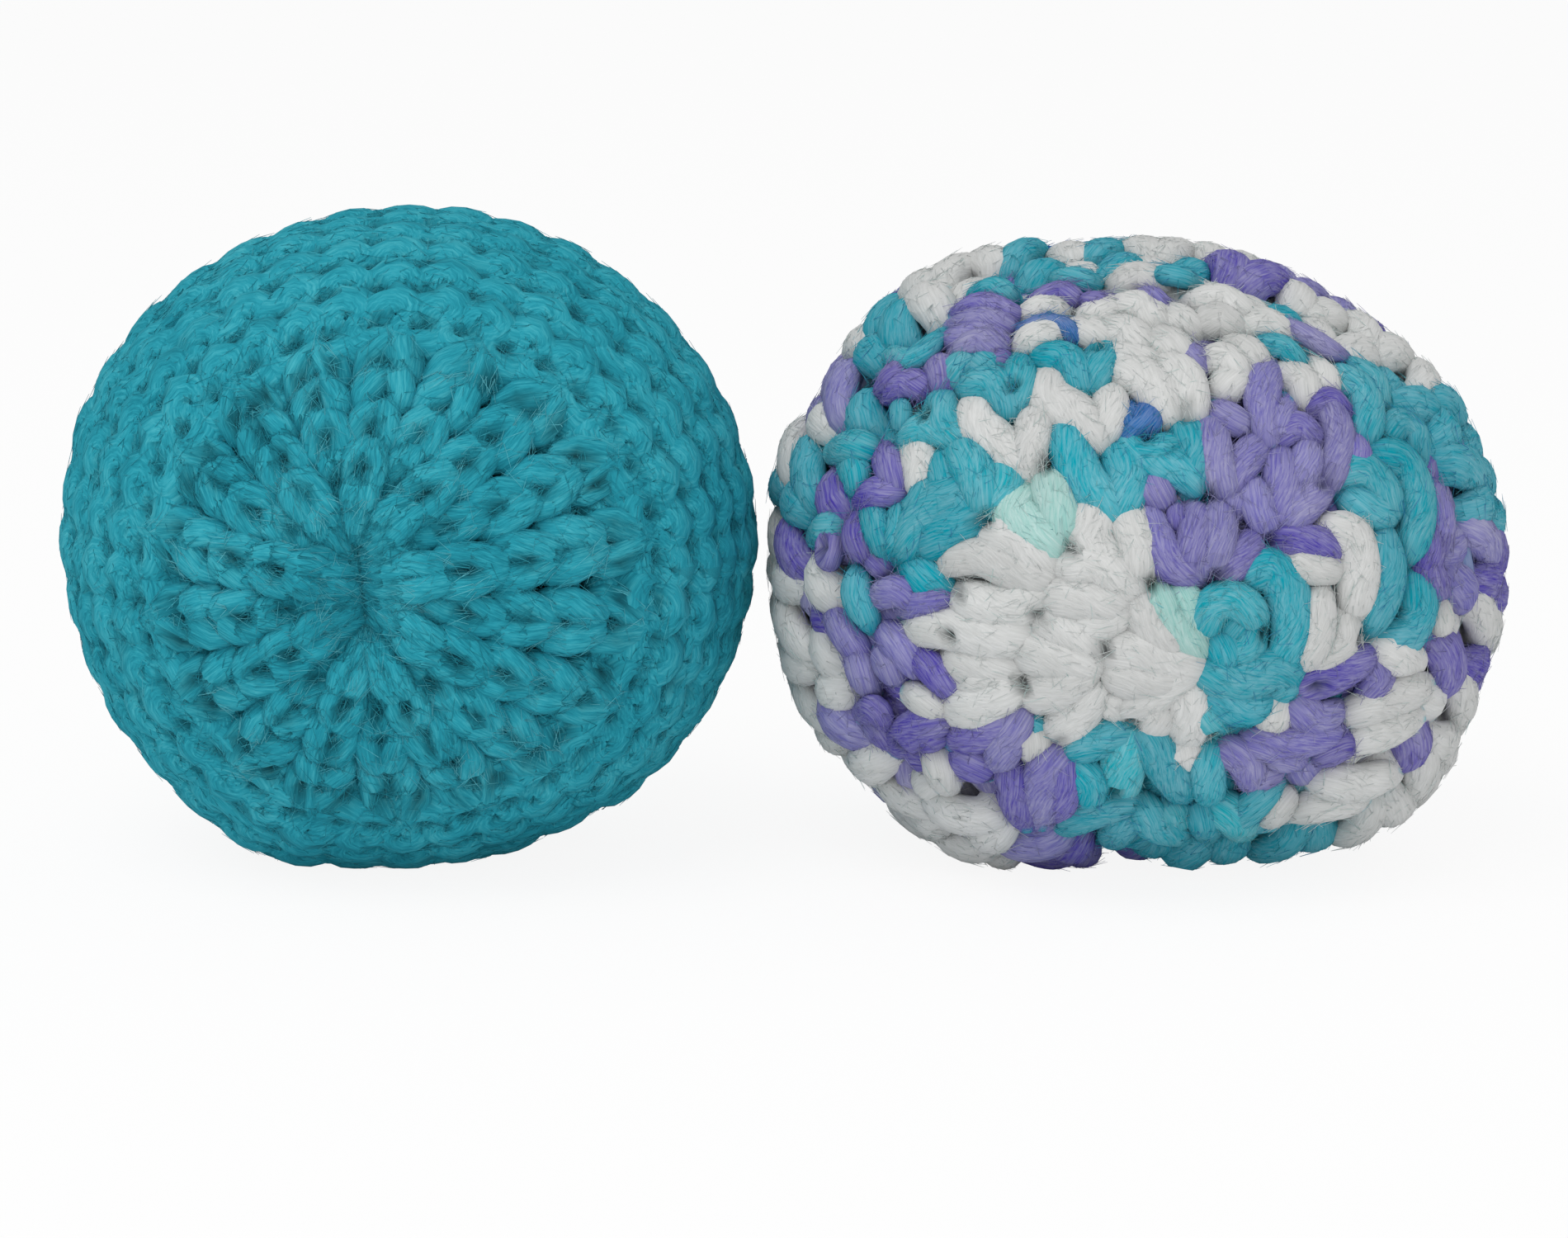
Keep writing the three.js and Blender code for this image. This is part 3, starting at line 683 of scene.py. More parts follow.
SLIT_REACH, BACK_REACH = 2.6, 2.0
STRAND_SIDES = 12
knit_yarn = yarn_material("knit_yarn", [(0.34, "1a7f91"), (0.5, "2b9aac"), (0.66, "49b1bf")])
knit_parts = {
    "knit_front_ribs": [rib_course(front_place, c, SLIT_REACH) for c in range(FRONT_COURSES)],
    "knit_side_rounds": [purl_course(c) for c in range(SIDE_COURSES)],
    "knit_back_ribs": [rib_course(back_place, c, BACK_REACH) for c in range(FRONT_COURSES)]}
for name, strands in knit_parts.items():
    lines, radii = zip(*strands)
    cover = spun(name, lines, radii, STRAND_SIDES, knit, knit_yarn, cyclic=True, pressed=True)
    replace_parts(cover, "knit_cover")

# Brushing pulls short fibres out of the yarn. They lie nearly flat on it, slightly out of line
# with it, so that the strands look felted into each other.
FIBRE_SIDES = 3
FIBRE_LENGTH = (0.7, 2.2)
FIBRE_TAPER = np.array([1, 0.45])
FIBRE_SPREAD = 1.3
FIBRE_ROOT = 0.04
FIBRE_RISE, FIBRE_STRAY = 0.06, 0.08
FIBRE_SLACK = (-0.08, 0.12)
FIBRE_DRIFT = 0.05
ROW_RANGE = (0.02, 0.98)
MAP_MARGIN = 0.01
OUTER_RADII, OUTER_SLACK = 1.7, 0.2
ROOT_SHADE, ROOT_END = 0.85, 0.5


def fibre_material(name, stops):
    """Across its map a fibre runs from root to tip, and its row in the map picks its tint."""
    material, finish, wire = new_material(name, roughness=0.9, shine=0.15)
    spot = wire.node("ShaderNodeUVMap", uv_map="OFBake")
    along, row = [wire.node("ShaderNodeSeparateXYZ", {0: spot}, way) for way in (0, 1)]
    tint = row.ramp(stops)
    root = wire.node("ShaderNodeHueSaturation", {"Color": tint, "Value": ROOT_SHADE})
    wire.mix(along.ranged(0.0, ROOT_END), root, tint).into(finish, "Base Color")
    return material


def fuzz(name, ball, strands, count, thick, sway, material, rows, seed):
    """Fibres that start on the outer side of strands. Rows picks their tints, from low to high."""
    chance = np.random.default_rng(seed)
    points = np.concatenate([p for p, girth in strands])
    radii = np.concatenate([girth for p, girth in strands])
    along = unit(np.concatenate([np.gradient(p, axis=0) for p, girth in strands]))
    reach = np.linalg.norm(points - ball.middle, axis=1)
    normal = unit(points - ball.middle)
    outer = np.flatnonzero((ball.reach(normal) - reach < radii * OUTER_RADII + OUTER_SLACK)
                           & (ball.from_hole(normal) > 1))
    begin = chance.choice(outer, count)
    along, normal, radii = along[begin], normal[begin], radii[begin]
    out = unit(normal - np.sum(normal * along, axis=1, keepdims=True) * along)
    side = np.cross(along, out)
    angle = chance.uniform(-FIBRE_SPREAD, FIBRE_SPREAD, (count, 1))
    swing = chance.normal(0, sway, (count, 1))
    away = out * np.cos(angle) + side * np.sin(angle)
    about = side * np.cos(angle) - out * np.sin(angle)
    span = chance.uniform(*FIBRE_LENGTH, (count, 1))
    sign = chance.choice([-1, 1], (count, 1))
    root = points[begin] + away * (radii[:, None] - FIBRE_ROOT)
    root -= (1 - FLATNESS) * np.sum(away * normal, axis=1, keepdims=True) * radii[:, None] * normal
    tip = root + (along * np.cos(swing) * sign + about * np.sin(swing)) * span
    tip = tip + away * (FIBRE_RISE + np.abs(chance.normal(0, FIBRE_STRAY, (count, 1))))
    over = tip - ball.middle
    top = np.linalg.norm(root - ball.middle, axis=1, keepdims=True)
    top = top + chance.uniform(*FIBRE_SLACK, (count, 1))
    tip = ball.middle + over * np.minimum(1, top / np.linalg.norm(over, axis=1, keepdims=True))
    lines = np.stack([root, tip], 1)
    lines[..., 2] = np.maximum(lines[..., 2], thick)
    girths = np.broadcast_to(FIBRE_TAPER * thick, (count, len(FIBRE_TAPER)))
    mesh, first = swept(name, lines, girths, FIBRE_SIDES, False)
    corners = read(mesh, "loops", "vertex_index")
    at = np.maximum(corners - first, 0)
    rows = (rows[begin] + chance.normal(0, FIBRE_DRIFT, count)).clip(*ROW_RANGE)
    share = at // FIBRE_SIDES % len(FIBRE_TAPER) / (len(FIBRE_TAPER) - 1)
    spots = np.stack([share * (1 - 2 * MAP_MARGIN) + MAP_MARGIN,
                      rows[at // (FIBRE_SIDES * len(FIBRE_TAPER))]], 1)
    spots[corners < first] = MAP_MARGIN
    write_map(mesh, spots)
    close_ends(mesh)
    return placed(name, mesh, ball, material)


# A row gives the strands, how many fibres they have, how these sway, and their brightest row.
KNIT_FUZZ = [("knit_front_ribs", 24000, 0.6, 1.0), ("knit_side_rounds", 18000, 0.6, 0.8),
             ("knit_side_rounds", 16000, 1.2, 0.8), ("knit_back_ribs", 12000, 0.6, 1.0)]
KNIT_FIBRE_THICKNESS = 0.034
KNIT_FUZZ_SEED = 11
knit_fibre = fibre_material("knit_fibre", [
    (0.0, "1c8091"), (0.45, "2c96a7"), (0.75, "43aaba"), (1.0, "66bfcb")])
for index, (part, count, sway, brightest) in enumerate(KNIT_FUZZ):
    shared = sum(len(points) for points, girth in knit_parts[part])
    rows = np.linspace(0, brightest, shared)[rng.permutation(shared)]
    fuzz("knit_fuzz_" + str(index + 1), knit, knit_parts[part], count, KNIT_FIBRE_THICKNESS, sway,
         knit_fibre, rows, KNIT_FUZZ_SEED + index)

# The crocheted ball: single crochet worked round and round from a short start at the front. Each
# stitch is a V of two plump legs that spring from one hole, with a head strand laid over its top.
crochet = Ball("crochet_footbag", (29.24, -0.06, 24.7), crown=26.6, belly=25.6, half_width=30.7,
               half_depth=28.5, sag=0.35,
               swells=[(132, 1.8, 22), (202, 0.9, 16), (236, 1.2, 14), (319, 1.8, 18),
                       (50, -0.75, 20)],
               hollows=[(-1, 2.4, 4.5, 0, 0)], turn=7.3, rise=0.5)
CROCHET_ROUNDS = 13
CROCHET_STITCH_WIDTH = 6.9
CROCHET_RADIUS = 29.6
START_HALF_LENGTH = 0.19
START_FADE = 0.9
STRAND_DEPTH = 2.05
LEGS_AND_HEAD = (3, 10, 15.5)
LEG_ENDS = (6.5, 12.5, 17.5)
# Across in stitch widths, on in rounds, out in millimetres, and the radius there.
STITCH = np.array([
    (-0.50, 0.78, -1.6, 1.45), (-0.44, 0.69, -0.2, 1.60), (-0.34, 0.47, 0.50, 1.72),
    (-0.18, 0.20, 0.52, 1.68), (-0.05, -0.04, 0.22, 1.52), (0.04, -0.22, -0.7, 1.36),
    (0.09, -0.35, -1.9, 1.20), (0.13, -0.31, -1.8, 1.20), (0.14, -0.13, -0.4, 1.42),
    (0.17, 0.09, 0.32, 1.60), (0.21, 0.33, 0.52, 1.72), (0.26, 0.55, 0.22, 1.64),
    (0.30, 0.69, -1.2, 1.46), (0.15, 0.84, -2.3, 1.35), (-0.20, 0.88, -2.3, 1.35),
    (-0.42, 0.84, -1.6, 1.42), (-0.20, 0.80, -0.65, 1.52), (0.15, 0.79, -0.65, 1.52)])


def crochet_place(u, v):
    polar = v * math.pi / CROCHET_ROUNDS
    stretch = START_HALF_LENGTH * np.exp(-(polar / START_FADE) ** 2) * np.cos(u)
    return crochet.way(polar, u, crochet.pole) + stretch[..., None] * crochet.right


def flowing(points, per):
    """A smooth run through the points, with per steps between each two."""
    ends = np.concatenate([[2 * points[0] - points[1]], points, [2 * points[-1] - points[-2]]])
    a, b, c, d = ends[:-3], ends[1:-2], ends[2:-1], ends[3:]
    run = []
    for k in range(per):
        t = k / per
        run.append(0.5 * (2 * b + (c - a) * t + (2 * a - 5 * b + 4 * c - d) * t * t
                          + (3 * b - a - 3 * c + d) * t ** 3))
    run = np.stack(run, 1).reshape(-1, points.shape[1])
    return np.concatenate([run, points[-1:]])


# On the side that shows, the loops are laid one by one, each through pixels of the photograph,
# because they lean and cross as no even stitch does. A row gives a loop's dye, its width in pixels,
# or its widths at either end, and then the points that it runs through. Near the ball's edge, where
# a pixel reaches deep, the even stitches stay.
FRAME_MIDDLE = FRAME_PIXELS / 2
PIXELS_DEEP = PIXELS_PER_MM * CAMERA_DISTANCE
FIRST_REACH = 28.0
REACH_TRIES = 12
eye = np.array(camera.location) / MM
eye_turn = np.array(camera.rotation_euler.to_matrix())


def under_pixel(ball, spots, lift):
    """The points over the ball's skin that show at pixels of the photograph."""
    across, down = ((spots - FRAME_MIDDLE) / PIXELS_DEEP).T
    ray = unit(np.stack([across, -down, -np.ones_like(across)], -1) @ eye_turn.T)
    from_ball = eye - ball.middle
    near = np.sum(ray * from_ball, axis=-1)
    reach = np.full(len(ray), FIRST_REACH)
    for attempt in range(REACH_TRIES):
        left = np.maximum(near ** 2 - (from_ball @ from_ball - reach ** 2), 0)
        way = unit(from_ball + ray * (-near - np.sqrt(left))[:, None])
        reach = ball.reach(way) + lift
    return way * reach[:, None] + ball.middle


def seen_at(points):
    """The pixels of the photograph at which points in millimetres lie."""
    spot = (points - eye) @ eye_turn
    return FRAME_MIDDLE + spot[..., :2] * (1, -1) * PIXELS_DEEP / -spot[..., 2:]


LAID_LOOPS = """
t 26 1180 358 1205 349 1226 364
t 28 1280 338 1303 338 1328 346
t 26 1400 334 1425 334 1445 342
w 34 1352 350 1377 334 1408 348
p 26 1160 380 1190 368 1232 384
l 28 1158 394 1195 386 1226 400
p 24 1252 366 1285 353 1308 368
p 18 1308 366 1325 362 1345 366
w 28 1238 386 1262 372 1290 380
w 36 1318 396 1330 380 1352 372
w 38 1354 372 1384 374 1406 400
l 20 1382 356 1397 358 1413 374
w 36 1300 400 1325 405 1340 420
w 40 1340 400 1365 405 1390 425
w 38 1405 388 1425 388 1446 404
w 38 1455 400 1475 386 1502 402
w 34 1445 368 1480 362 1515 384
w 38 1505 402 1530 392 1560 410
l 24 1555 394 1587 409 1626 432
t 26 1524 420 1553 420 1577 442
l 30 1150 412 1190 406 1218 426
t 26 1078 430 1104 436 1138 410
p 26 1068 474 1083 453 1104 450
p 30 1075 478 1102 464 1126 476
p 34 1129 442 1144 454 1142 473
l 30 1160 428 1188 414 1214 430
p 24 1195 432 1220 438
t 34 1158 466 1160 448 1178 440
t 34 1178 442 1194 446 1200 460
t 36 1170 470 1198 464 1220 480 1226 502
t 36-30 1232 440 1236 462 1230 494
w 34 1238 424 1256 407 1288 408
b 20 1233 404 1264 391 1293 398 1307 420
t 38-30 1258 436 1286 434 1304 450 1314 476
t 38-30 1338 420 1332 442 1318 474
w 44 1352 446 1380 456 1402 474 1422 508
w 36 1345 430 1375 436 1400 445
w 44-36 1410 440 1436 462 1446 506
w 38 1395 410 1420 420 1432 440
l 28 1420 446 1438 430 1462 448
w 36 1462 440 1485 436 1505 460
w 36 1490 420 1515 430 1520 452
w 36 1480 480 1492 462 1510 452
w 38 1552 452 1578 464 1586 494
w 34 1590 445 1605 460 1600 480
t 24 1090 488 1094 520
t 40-34 1142 482 1140 507 1160 534
t 34 1096 534 1121 519 1150 525 1166 542
w 46-40 1184 486 1184 512 1206 536 1230 555 1252 574
w 38-32 1252 500 1252 526 1248 548 1250 572
w 48-42 1272 456 1270 482 1298 501 1318 517 1338 538
w 38-32 1343 474 1346 500 1336 532
b 32-28 1394 494 1386 516 1368 537
b 26 1366 496 1374 522
t 30 1372 545 1400 545 1425 540
t 44-36 1366 538 1400 559 1431 570 1456 590
t 40-34 1434 518 1448 545 1444 590
w 28-46 1110 594 1116 566 1110 540
t 34 1012 547 1037 541 1060 548
t 34 1026 560 1038 574 1039 592
t 36 990 650 1003 642 1020 642
p 36-30 1070 550 1079 568 1090 594
p 32 1043 610 1064 596 1094 594
t 42 1160 545 1180 570 1190 592 1194 615
t 42 1140 556 1153 586 1177 610 1186 628
t 44 1172 585 1140 606 1112 636 1096 668
t 44 1188 618 1152 640 1122 662
t 40 1128 585 1120 612 1102 628
c 42-36 1212 566 1217 591 1200 622
m 46 1236 594 1226 618 1250 642 1282 664
m 44-36 1268 578 1280 608 1292 650
w 40 1204 645 1228 632 1256 645
t 46-40 1292 518 1298 550 1314 584 1337 606 1356 628
t 42-36 1352 548 1367 574 1364 605 1356 628
t 38-30 1054 618 1064 640 1076 670
t 30-26 1088 616 1090 640 1078 670
p 34 1044 630 1038 650 1050 670
p 34 1007 650 1003 680
p 28 1056 676 1074 688
w 46-40 1322 612 1322 645 1306 662
w 42-36 1366 624 1376 647 1392 670
w 30-50 1144 684 1187 674 1232 690 1270 702
w 44 1195 652 1232 656 1270 684
w 46 1308 642 1329 668 1344 692 1376 716
w 40-34 1371 634 1378 668 1384 700
w 42-36 1290 690 1329 684 1364 710
w 46-40 1270 727 1316 726 1362 736
w 40-34 1298 760 1334 754 1366 736
w 50-44 1166 727 1201 736 1230 734 1264 717
w 36-52 1106 765 1147 762 1187 770 1242 770
w 50-40 1266 752 1302 770 1328 790
w 50-44 1244 790 1284 797 1324 806
w 44-40 1150 802 1187 808 1232 814
w 48-40 1158 862 1193 851 1230 832
w 40-36 1166 826 1201 830 1232 826
w 48-42 1250 842 1284 832 1318 816
w 48-38 1282 888 1308 861 1331 830
w 50 1346 790 1380 790 1415 802 1452 806
w 42 1348 818 1388 825 1430 821
w 44-40 1367 864 1388 848 1423 824 1444 812
w 48-40 1442 892 1442 861 1439 832
w 42-36 1396 880 1408 855
w 34 1340 846 1362 862
w 42-38 1378 725 1396 759 1430 788
m 36-34 1400 716 1423 754 1456 793
m 32-30 1428 712 1447 741 1460 772
l 40-36 1393 650 1419 679 1450 698
l 36-32 1453 644 1458 672 1463 696
l 34-30 1485 648 1477 676 1468 698
l 36-32 1526 652 1506 672 1480 700
t 36 1460 764 1466 738 1487 726 1511 736 1524 756
t 32 1486 770 1496 760 1502 748
t 34 1519 758 1511 785 1486 797
t 34 1470 772 1484 790 1490 812
t 44 1458 812 1489 825 1516 820 1545 810 1570 820
t 42-36 1464 838 1489 853 1516 857 1534 846
t 32-28 1542 840 1568 828
c 30 1450 850 1460 870 1480 880
t 46-40 1512 700 1535 687 1554 706 1565 737 1565 768 1557 792 1546 806
w 32 1556 678 1588 688 1622 690
p 32 1542 655 1574 655 1603 660 1620 674
w 46 1604 645 1634 650 1646 682 1645 713 1642 740
w 36 1598 718 1598 749 1594 776 1580 806
w 42-36 1622 746 1628 772 1608 794 1582 806
t 42 1674 650 1681 688 1676 720 1662 756
t 46-42 1712 702 1718 737 1703 770 1672 778
t 30 1700 645 1716 668
p 36 1739 650 1729 688 1746 716
w 30 1742 734 1750 762
p 38-34 1576 834 1613 820 1642 805 1662 794
p 34-30 1654 806 1668 824 1650 846
p 30 1682 822 1652 842
l 38-34 1566 852 1593 871 1620 862
w 34-40 1545 848 1541 884
l 40-34 1512 896 1550 903 1588 895 1622 890
p 34 1600 915 1622 905 1636 900
l 38-32 1482 905 1506 920 1520 950
l 34-30 1540 914 1575 920
l 30 1545 934 1520 946
l 34-30 1474 500 1508 516
l 40-32 1466 518 1473 560 1486 598
l 44-26 1532 446 1529 487 1538 540
l 36-30 1527 535 1506 562 1488 598
l 30-26 1556 490 1546 534
p 30 1542 534 1571 516 1596 534
l 36-30 1583 538 1583 562 1573 592
p 30 1588 500 1612 487 1630 508
l 36-30 1604 486 1620 515 1622 548 1612 586
l 30 1636 532 1646 552 1640 575
l 42-32 1548 550 1554 593 1547 642
l 38-30 1516 590 1526 619 1540 644
l 40-32 1601 588 1576 616 1555 644
l 30-26 1502 596 1498 622
l 38-34 1390 580 1408 608
p 20-18 1424 616 1429 640
l 36-30 1451 620 1447 656 1445 690
l 36-30 1476 616 1478 649 1472 688
l 38-32 1387 624 1405 660 1430 694
t 38-34 1632 604 1660 619 1688 622
t 44-38 1622 578 1648 570 1674 592 1688 622
t 44-40 1662 556 1694 558 1715 592 1718 633 1710 672
t 40-36 1622 456 1649 475 1658 506 1651 536
t 30 1636 444 1664 461 1673 494
t 32 1680 535 1694 514 1715 526 1718 556
l 34 1736 596 1746 633 1742 664
p 30 1728 640 1732 668 1724 700
t 38-32 1043 698 1038 721 1055 754
l 30 1062 724 1087 716 1106 730
t 44-40 1104 688 1124 702 1144 716
l 30-26 1096 738 1124 729 1150 722
l 36 1010 747 1026 770 1047 796
l 36 1037 792 1046 819 1057 833
l 40 1074 768 1095 786 1114 808
l 36 1070 794 1084 817
p 34 1110 794 1130 811 1156 838
w 36-30 1106 842 1142 862
p 30 1045 866 1062 860 1072 878
p 34 1058 878 1076 894
p 40-36 1086 902 1103 888 1124 876 1146 870
p 34 1114 897 1138 884
w 40 1137 916 1145 948
p 40-36 1164 922 1196 931
p 40 1160 898 1198 883 1232 864
l 40-36 1237 862 1222 893 1208 928
w 34-38 1250 886 1255 914
l 44-40 1284 910 1265 945 1262 988
p 40-36 1228 928 1228 955 1240 992
p 34-30 1289 920 1291 955 1282 988
t 24 1248 876 1264 880
t 40-36 1366 884 1326 898 1296 912
c 46-42 1368 886 1361 922 1358 958
t 44-38 1384 884 1405 915 1425 945 1434 964
t 40 1298 928 1318 945 1321 972
w 40-30 1430 898 1440 928
t 36-34 1467 905 1463 938 1467 968
t 38-34 1372 970 1332 981 1292 1000
t 36 1370 976 1358 1000 1348 1018
t 40 1380 970 1396 995 1426 1010
c 36 1412 976 1426 998
t 34 1452 972 1460 995 1464 1010
c 44-40 1472 972 1498 990 1506 1006
t 38-34 1540 952 1517 976 1494 1000
w 36-40 1556 963 1542 988
w 40 1668 786 1710 800
w 42 1636 864 1683 848 1722 834
w 42 1640 895 1675 885 1710 870
w 42 1600 945 1640 950 1680 940
w 42 1575 980 1610 972 1645 968
"""
LOOP_TOP = 0.45
LOOP_UNEVEN = 0.15
LOOP_PLUMPNESS = 1.27
LOOP_TAPER, LOOP_TAPER_POWER = 0.26, 2.5
LOOP_SINK = 2.2
LOOP_SINK_LENGTH = 0.8
LOOP_OVERRUN = 0.8
LOOP_STEPS = 6
rng = np.random.default_rng(77)
laid = []
for row in LAID_LOOPS.split("\n")[1:-1]:
    dye, widths, *spots = row.split()
    widths = np.array(widths.split("-"), float)
    spots = flowing(np.array(spots, float).reshape(-1, 2), LOOP_STEPS)
    spots[0] += (spots[0] - spots[1]) * LOOP_OVERRUN
    spots[-1] += (spots[-1] - spots[-2]) * LOOP_OVERRUN
    along = run_length(spots)
    share = along / along[-1]
    width = widths[0] * (1 - share) + widths[-1] * share
    taper = 1 - LOOP_TAPER * np.abs(2 * share - 1) ** LOOP_TAPER_POWER
    girth = width * LOOP_PLUMPNESS / 2 / PIXELS_PER_MM * taper
    to_end = np.minimum(along, along[-1] - along) / PIXELS_PER_MM
    lift = LOOP_TOP + rng.normal(0, LOOP_UNEVEN) - FLATNESS * girth
    lift = lift - LOOP_SINK * np.exp(-(to_end / LOOP_SINK_LENGTH) ** 2)
    laid.append((dye, under_pixel(crochet, spots, lift), girth, spots))

# The holes between the laid loops, as pixels of the photograph. Round each the yarn dips in and is
# painted darker: painted shade.
LOOP_GAPS = np.array([
    (1192, 629), (1154, 718), (1297, 667), (1394, 708), (1335, 790), (1468, 598), (1256, 746),
    (1608, 585), (1654, 774), (1238, 835), (1372, 880), (1535, 770), (1280, 905), (1349, 966),
    (1473, 897), (1120, 500), (1390, 530), (1475, 700), (1545, 655), (1265, 560), (1085, 905),
    (1150, 770), (1440, 500), (1330, 420), (1230, 470), (1000, 660), (1600, 830), (1200, 960)])
CROCHET_HOLE_REACH = 0.5
crochet.pierce(under_pixel(crochet, LOOP_GAPS, 0), CROCHET_HOLE_REACH)

# Elsewhere the stitches are even ones. Where they run under the laid loops, they are pushed in:
# wholly within the first of two distances in pixels from a loop, and not beyond the second.
COVERED_NEAR, COVERED_FAR = 16, 40
COVERED_SINK = 1.8
DEEPEST = -3.6
SPIRAL_TURN = math.radians(23)
SPIRAL_START, SPIRAL_END = 0.42, 0.9
FEWEST_STITCHES = 5
STITCH_PLUMPNESS = 1.14
START_AROUND, START_GIRTH = 35, 0.1
STITCH_LEAN = -0.03
START_EDGE = 0.03
# How uneven they are: their size, lean and thickness, and their place across, on and out.
STITCH_DRIFT = (0.05, 0.07, 0.04, 0.03, 0.04, 0.2)
SMOOTH = 3
covered = tree_of([(x, y, 0) for dye, points, girth, spots in laid for x, y in spots[2:-2]])


def pushed_in(points):
    """How far the points of a strand lie under the laid loops, from 0 to 1."""
    near = np.array([covered.find((x, y, 0))[2] for x, y in seen_at(points)])
    share = np.clip((COVERED_FAR - near) / (COVERED_FAR - COVERED_NEAR), 0, 1)
    return np.where(points[:, 1] < crochet.middle[1], eased(share), 0)


rng = np.random.default_rng(21)
turn, rounds, stitches = SPIRAL_TURN, SPIRAL_START, []
while rounds < CROCHET_ROUNDS - SPIRAL_END:
    polar = math.pi * rounds / CROCHET_ROUNDS
    around = CROCHET_RADIUS * (2 * math.pi * math.sin(polar)
                               + 4 * START_HALF_LENGTH * math.exp(-(polar / START_FADE) ** 2))
    count = max(FEWEST_STITCHES, around / CROCHET_STITCH_WIDTH)
    larger, lean, thicker, aside, ahead, higher = rng.normal(0, STITCH_DRIFT)
    across, on, out, fat = STITCH.T
    fat = fat * STITCH_PLUMPNESS * min(1, around / START_AROUND + START_GIRTH) * (1 + thicker)
    aside = aside + across * (1 + larger) + (STITCH_LEAN + lean) * on
    ahead = ahead + rounds + on * (1 + larger) + across / count
    stitches.append(np.stack([
        turn + aside * 2 * math.pi / count, np.maximum(ahead, START_EDGE), out + higher, fat], 1))
    turn += 2 * math.pi / count
    rounds += 1 / count
u, v, lift, stitch_girth = flowing(np.concatenate(stitches), SMOOTH).T
lift = lift - STRAND_DEPTH
under = pushed_in(crochet.lay(crochet_place, u, v, lift, stitch_girth))
lift = np.maximum(lift - COVERED_SINK * under, DEEPEST)
stitch_line = crochet.lay(crochet_place, u, v, lift, stitch_girth)

# Under the stitches their backs fill the gaps: one soft strand that follows the same spiral.
BACKS_POINTS = 1500
BACKS_START, BACKS_END = 0.1, 0.6
BACKS_RADIUS = 2.15
BACKS_DEPTH = 2.2
back_turns = np.linspace(0, 2 * math.pi * (CROCHET_ROUNDS - BACKS_END), BACKS_POINTS)
back_girth = np.full(BACKS_POINTS, BACKS_RADIUS)
back_line = crochet.lay(crochet_place, back_turns, BACKS_START + back_turns / (2 * math.pi),
                        -BACKS_DEPTH - back_girth, back_girth)

# The yarn was dyed in runs of white, teal and lavender. Each dab below is where one colour lies
# on the side that shows, in pixels of the photograph, and the strands take the nearest. The
# letters stand for white, teal, lavender, purple, mint, blue, pale teal and pale lavender.
DYES = {"w": "d2d3d2", "t": "2a9fb2", "l": "918fba", "p": "7974ad", "m": "a9cfca", "b": "3f7ab5",
        "c": "5fb6c2", "k": "adabcd"}
DABS = {
    "t": "1240,310 1340,300 1440,315 1100,420 1550,430 1290,435 1210,455 1060,480 1300,560 1350,570 "
         "1420,555 1120,530 1170,600 1040,560 990,580 1100,650 1120,700 1045,725 1310,940 1370,930 "
         "1440,920 1520,950 1400,1000 1480,1010 1550,1000 1500,750 1560,740 1480,800 1520,860 "
         "1560,800 1690,700 1710,620 1650,470 1690,520 1740,500 1780,560 1800,620 1700,760",
    "p": "1510,325 1225,365 1250,405 1120,480 1075,600 1480,560 1600,600 1540,640 990,680 1000,770 "
         "1100,820 1110,890 1190,910 1270,970 1300,1020 1370,1040 1580,880 1690,860 1740,590 "
         "1800,700 1770,790 1590,660",
    "w": "1180,340 1110,370 1270,385 1330,380 1400,380 1480,390 1580,350 1640,400 1500,450 1400,450 "
         "1340,440 1150,450 1020,430 1185,505 1250,510 1300,480 1340,510 1220,555 1105,565 980,520 "
         "1320,650 1370,640 1240,680 1170,690 1300,720 1360,730 980,730 1120,760 1200,770 1270,790 "
         "1340,830 1400,810 1220,840 1430,870 1290,880 1130,860 1020,830 1040,920 1120,990 1170,960 "
         "1600,760 1640,690 1600,700 1620,430 1720,430 1745,750 1790,760 1650,900 1720,860 1600,960 "
         "1660,980 1740,920 1560,690 945,640 950,700 955,760 965,820 990,870 1140,1025 1200,1042",
    "l": "1160,400 1440,440 1010,480 1500,510 1550,480 1530,570 1590,540 1420,620 1440,660 1480,650 "
         "1490,700 1030,680 1080,740 1060,850 1090,940 1250,930 1240,1010 1520,900 1640,820 1770,640 "
         "1760,720 1580,920",
    "b": "1380,515",
    "m": "1215,590 1270,620 1420,730 1440,780"}
DABS_REACH = 2
# Behind, where no dab reaches, the dyes follow each other like this.
HIDDEN_RUNS = "wwwwttwwlllpwwwttbtpllwwwwmttttllpp"
SMOOTH_STEPS = 5


def linear(code):
    return np.array(colour(code)[:3])


def dyed(points, keys, ends, pace):
    """A colour for each point. The points up to each end take the dab nearest to their key point,
    and behind they take runs of the dyed yarn."""
    dabs = [(dye, spot.split(",")) for dye, spots in DABS.items() for spot in spots.split()]
    marks = np.array([spot for dye, spot in dabs], float)
    away = np.linalg.norm(seen_at(points[keys])[:, None] - marks[None], axis=2)
    near = np.argmin(away, axis=1)
    front = (points[keys] - crochet.middle)[:, 1] < DABS_REACH
    runs = [HIDDEN_RUNS[int(k * pace) % len(HIDDEN_RUNS)] for k in range(len(keys))]
    picks = [dabs[n][0] if f else r for n, f, r in zip(near, front, runs)]
    tints = np.array([linear(DYES[pick]) for pick in picks])
    held = tints[np.minimum(np.searchsorted(ends, np.arange(len(points))), len(keys) - 1)]
    held = np.pad(held, ((SMOOTH_STEPS, SMOOTH_STEPS), (0, 0)), "edge")
    share = np.ones(2 * SMOOTH_STEPS + 1) / (2 * SMOOTH_STEPS + 1)
    return np.stack([np.convolve(held[:, c], share, "valid") for c in range(3)], 1)


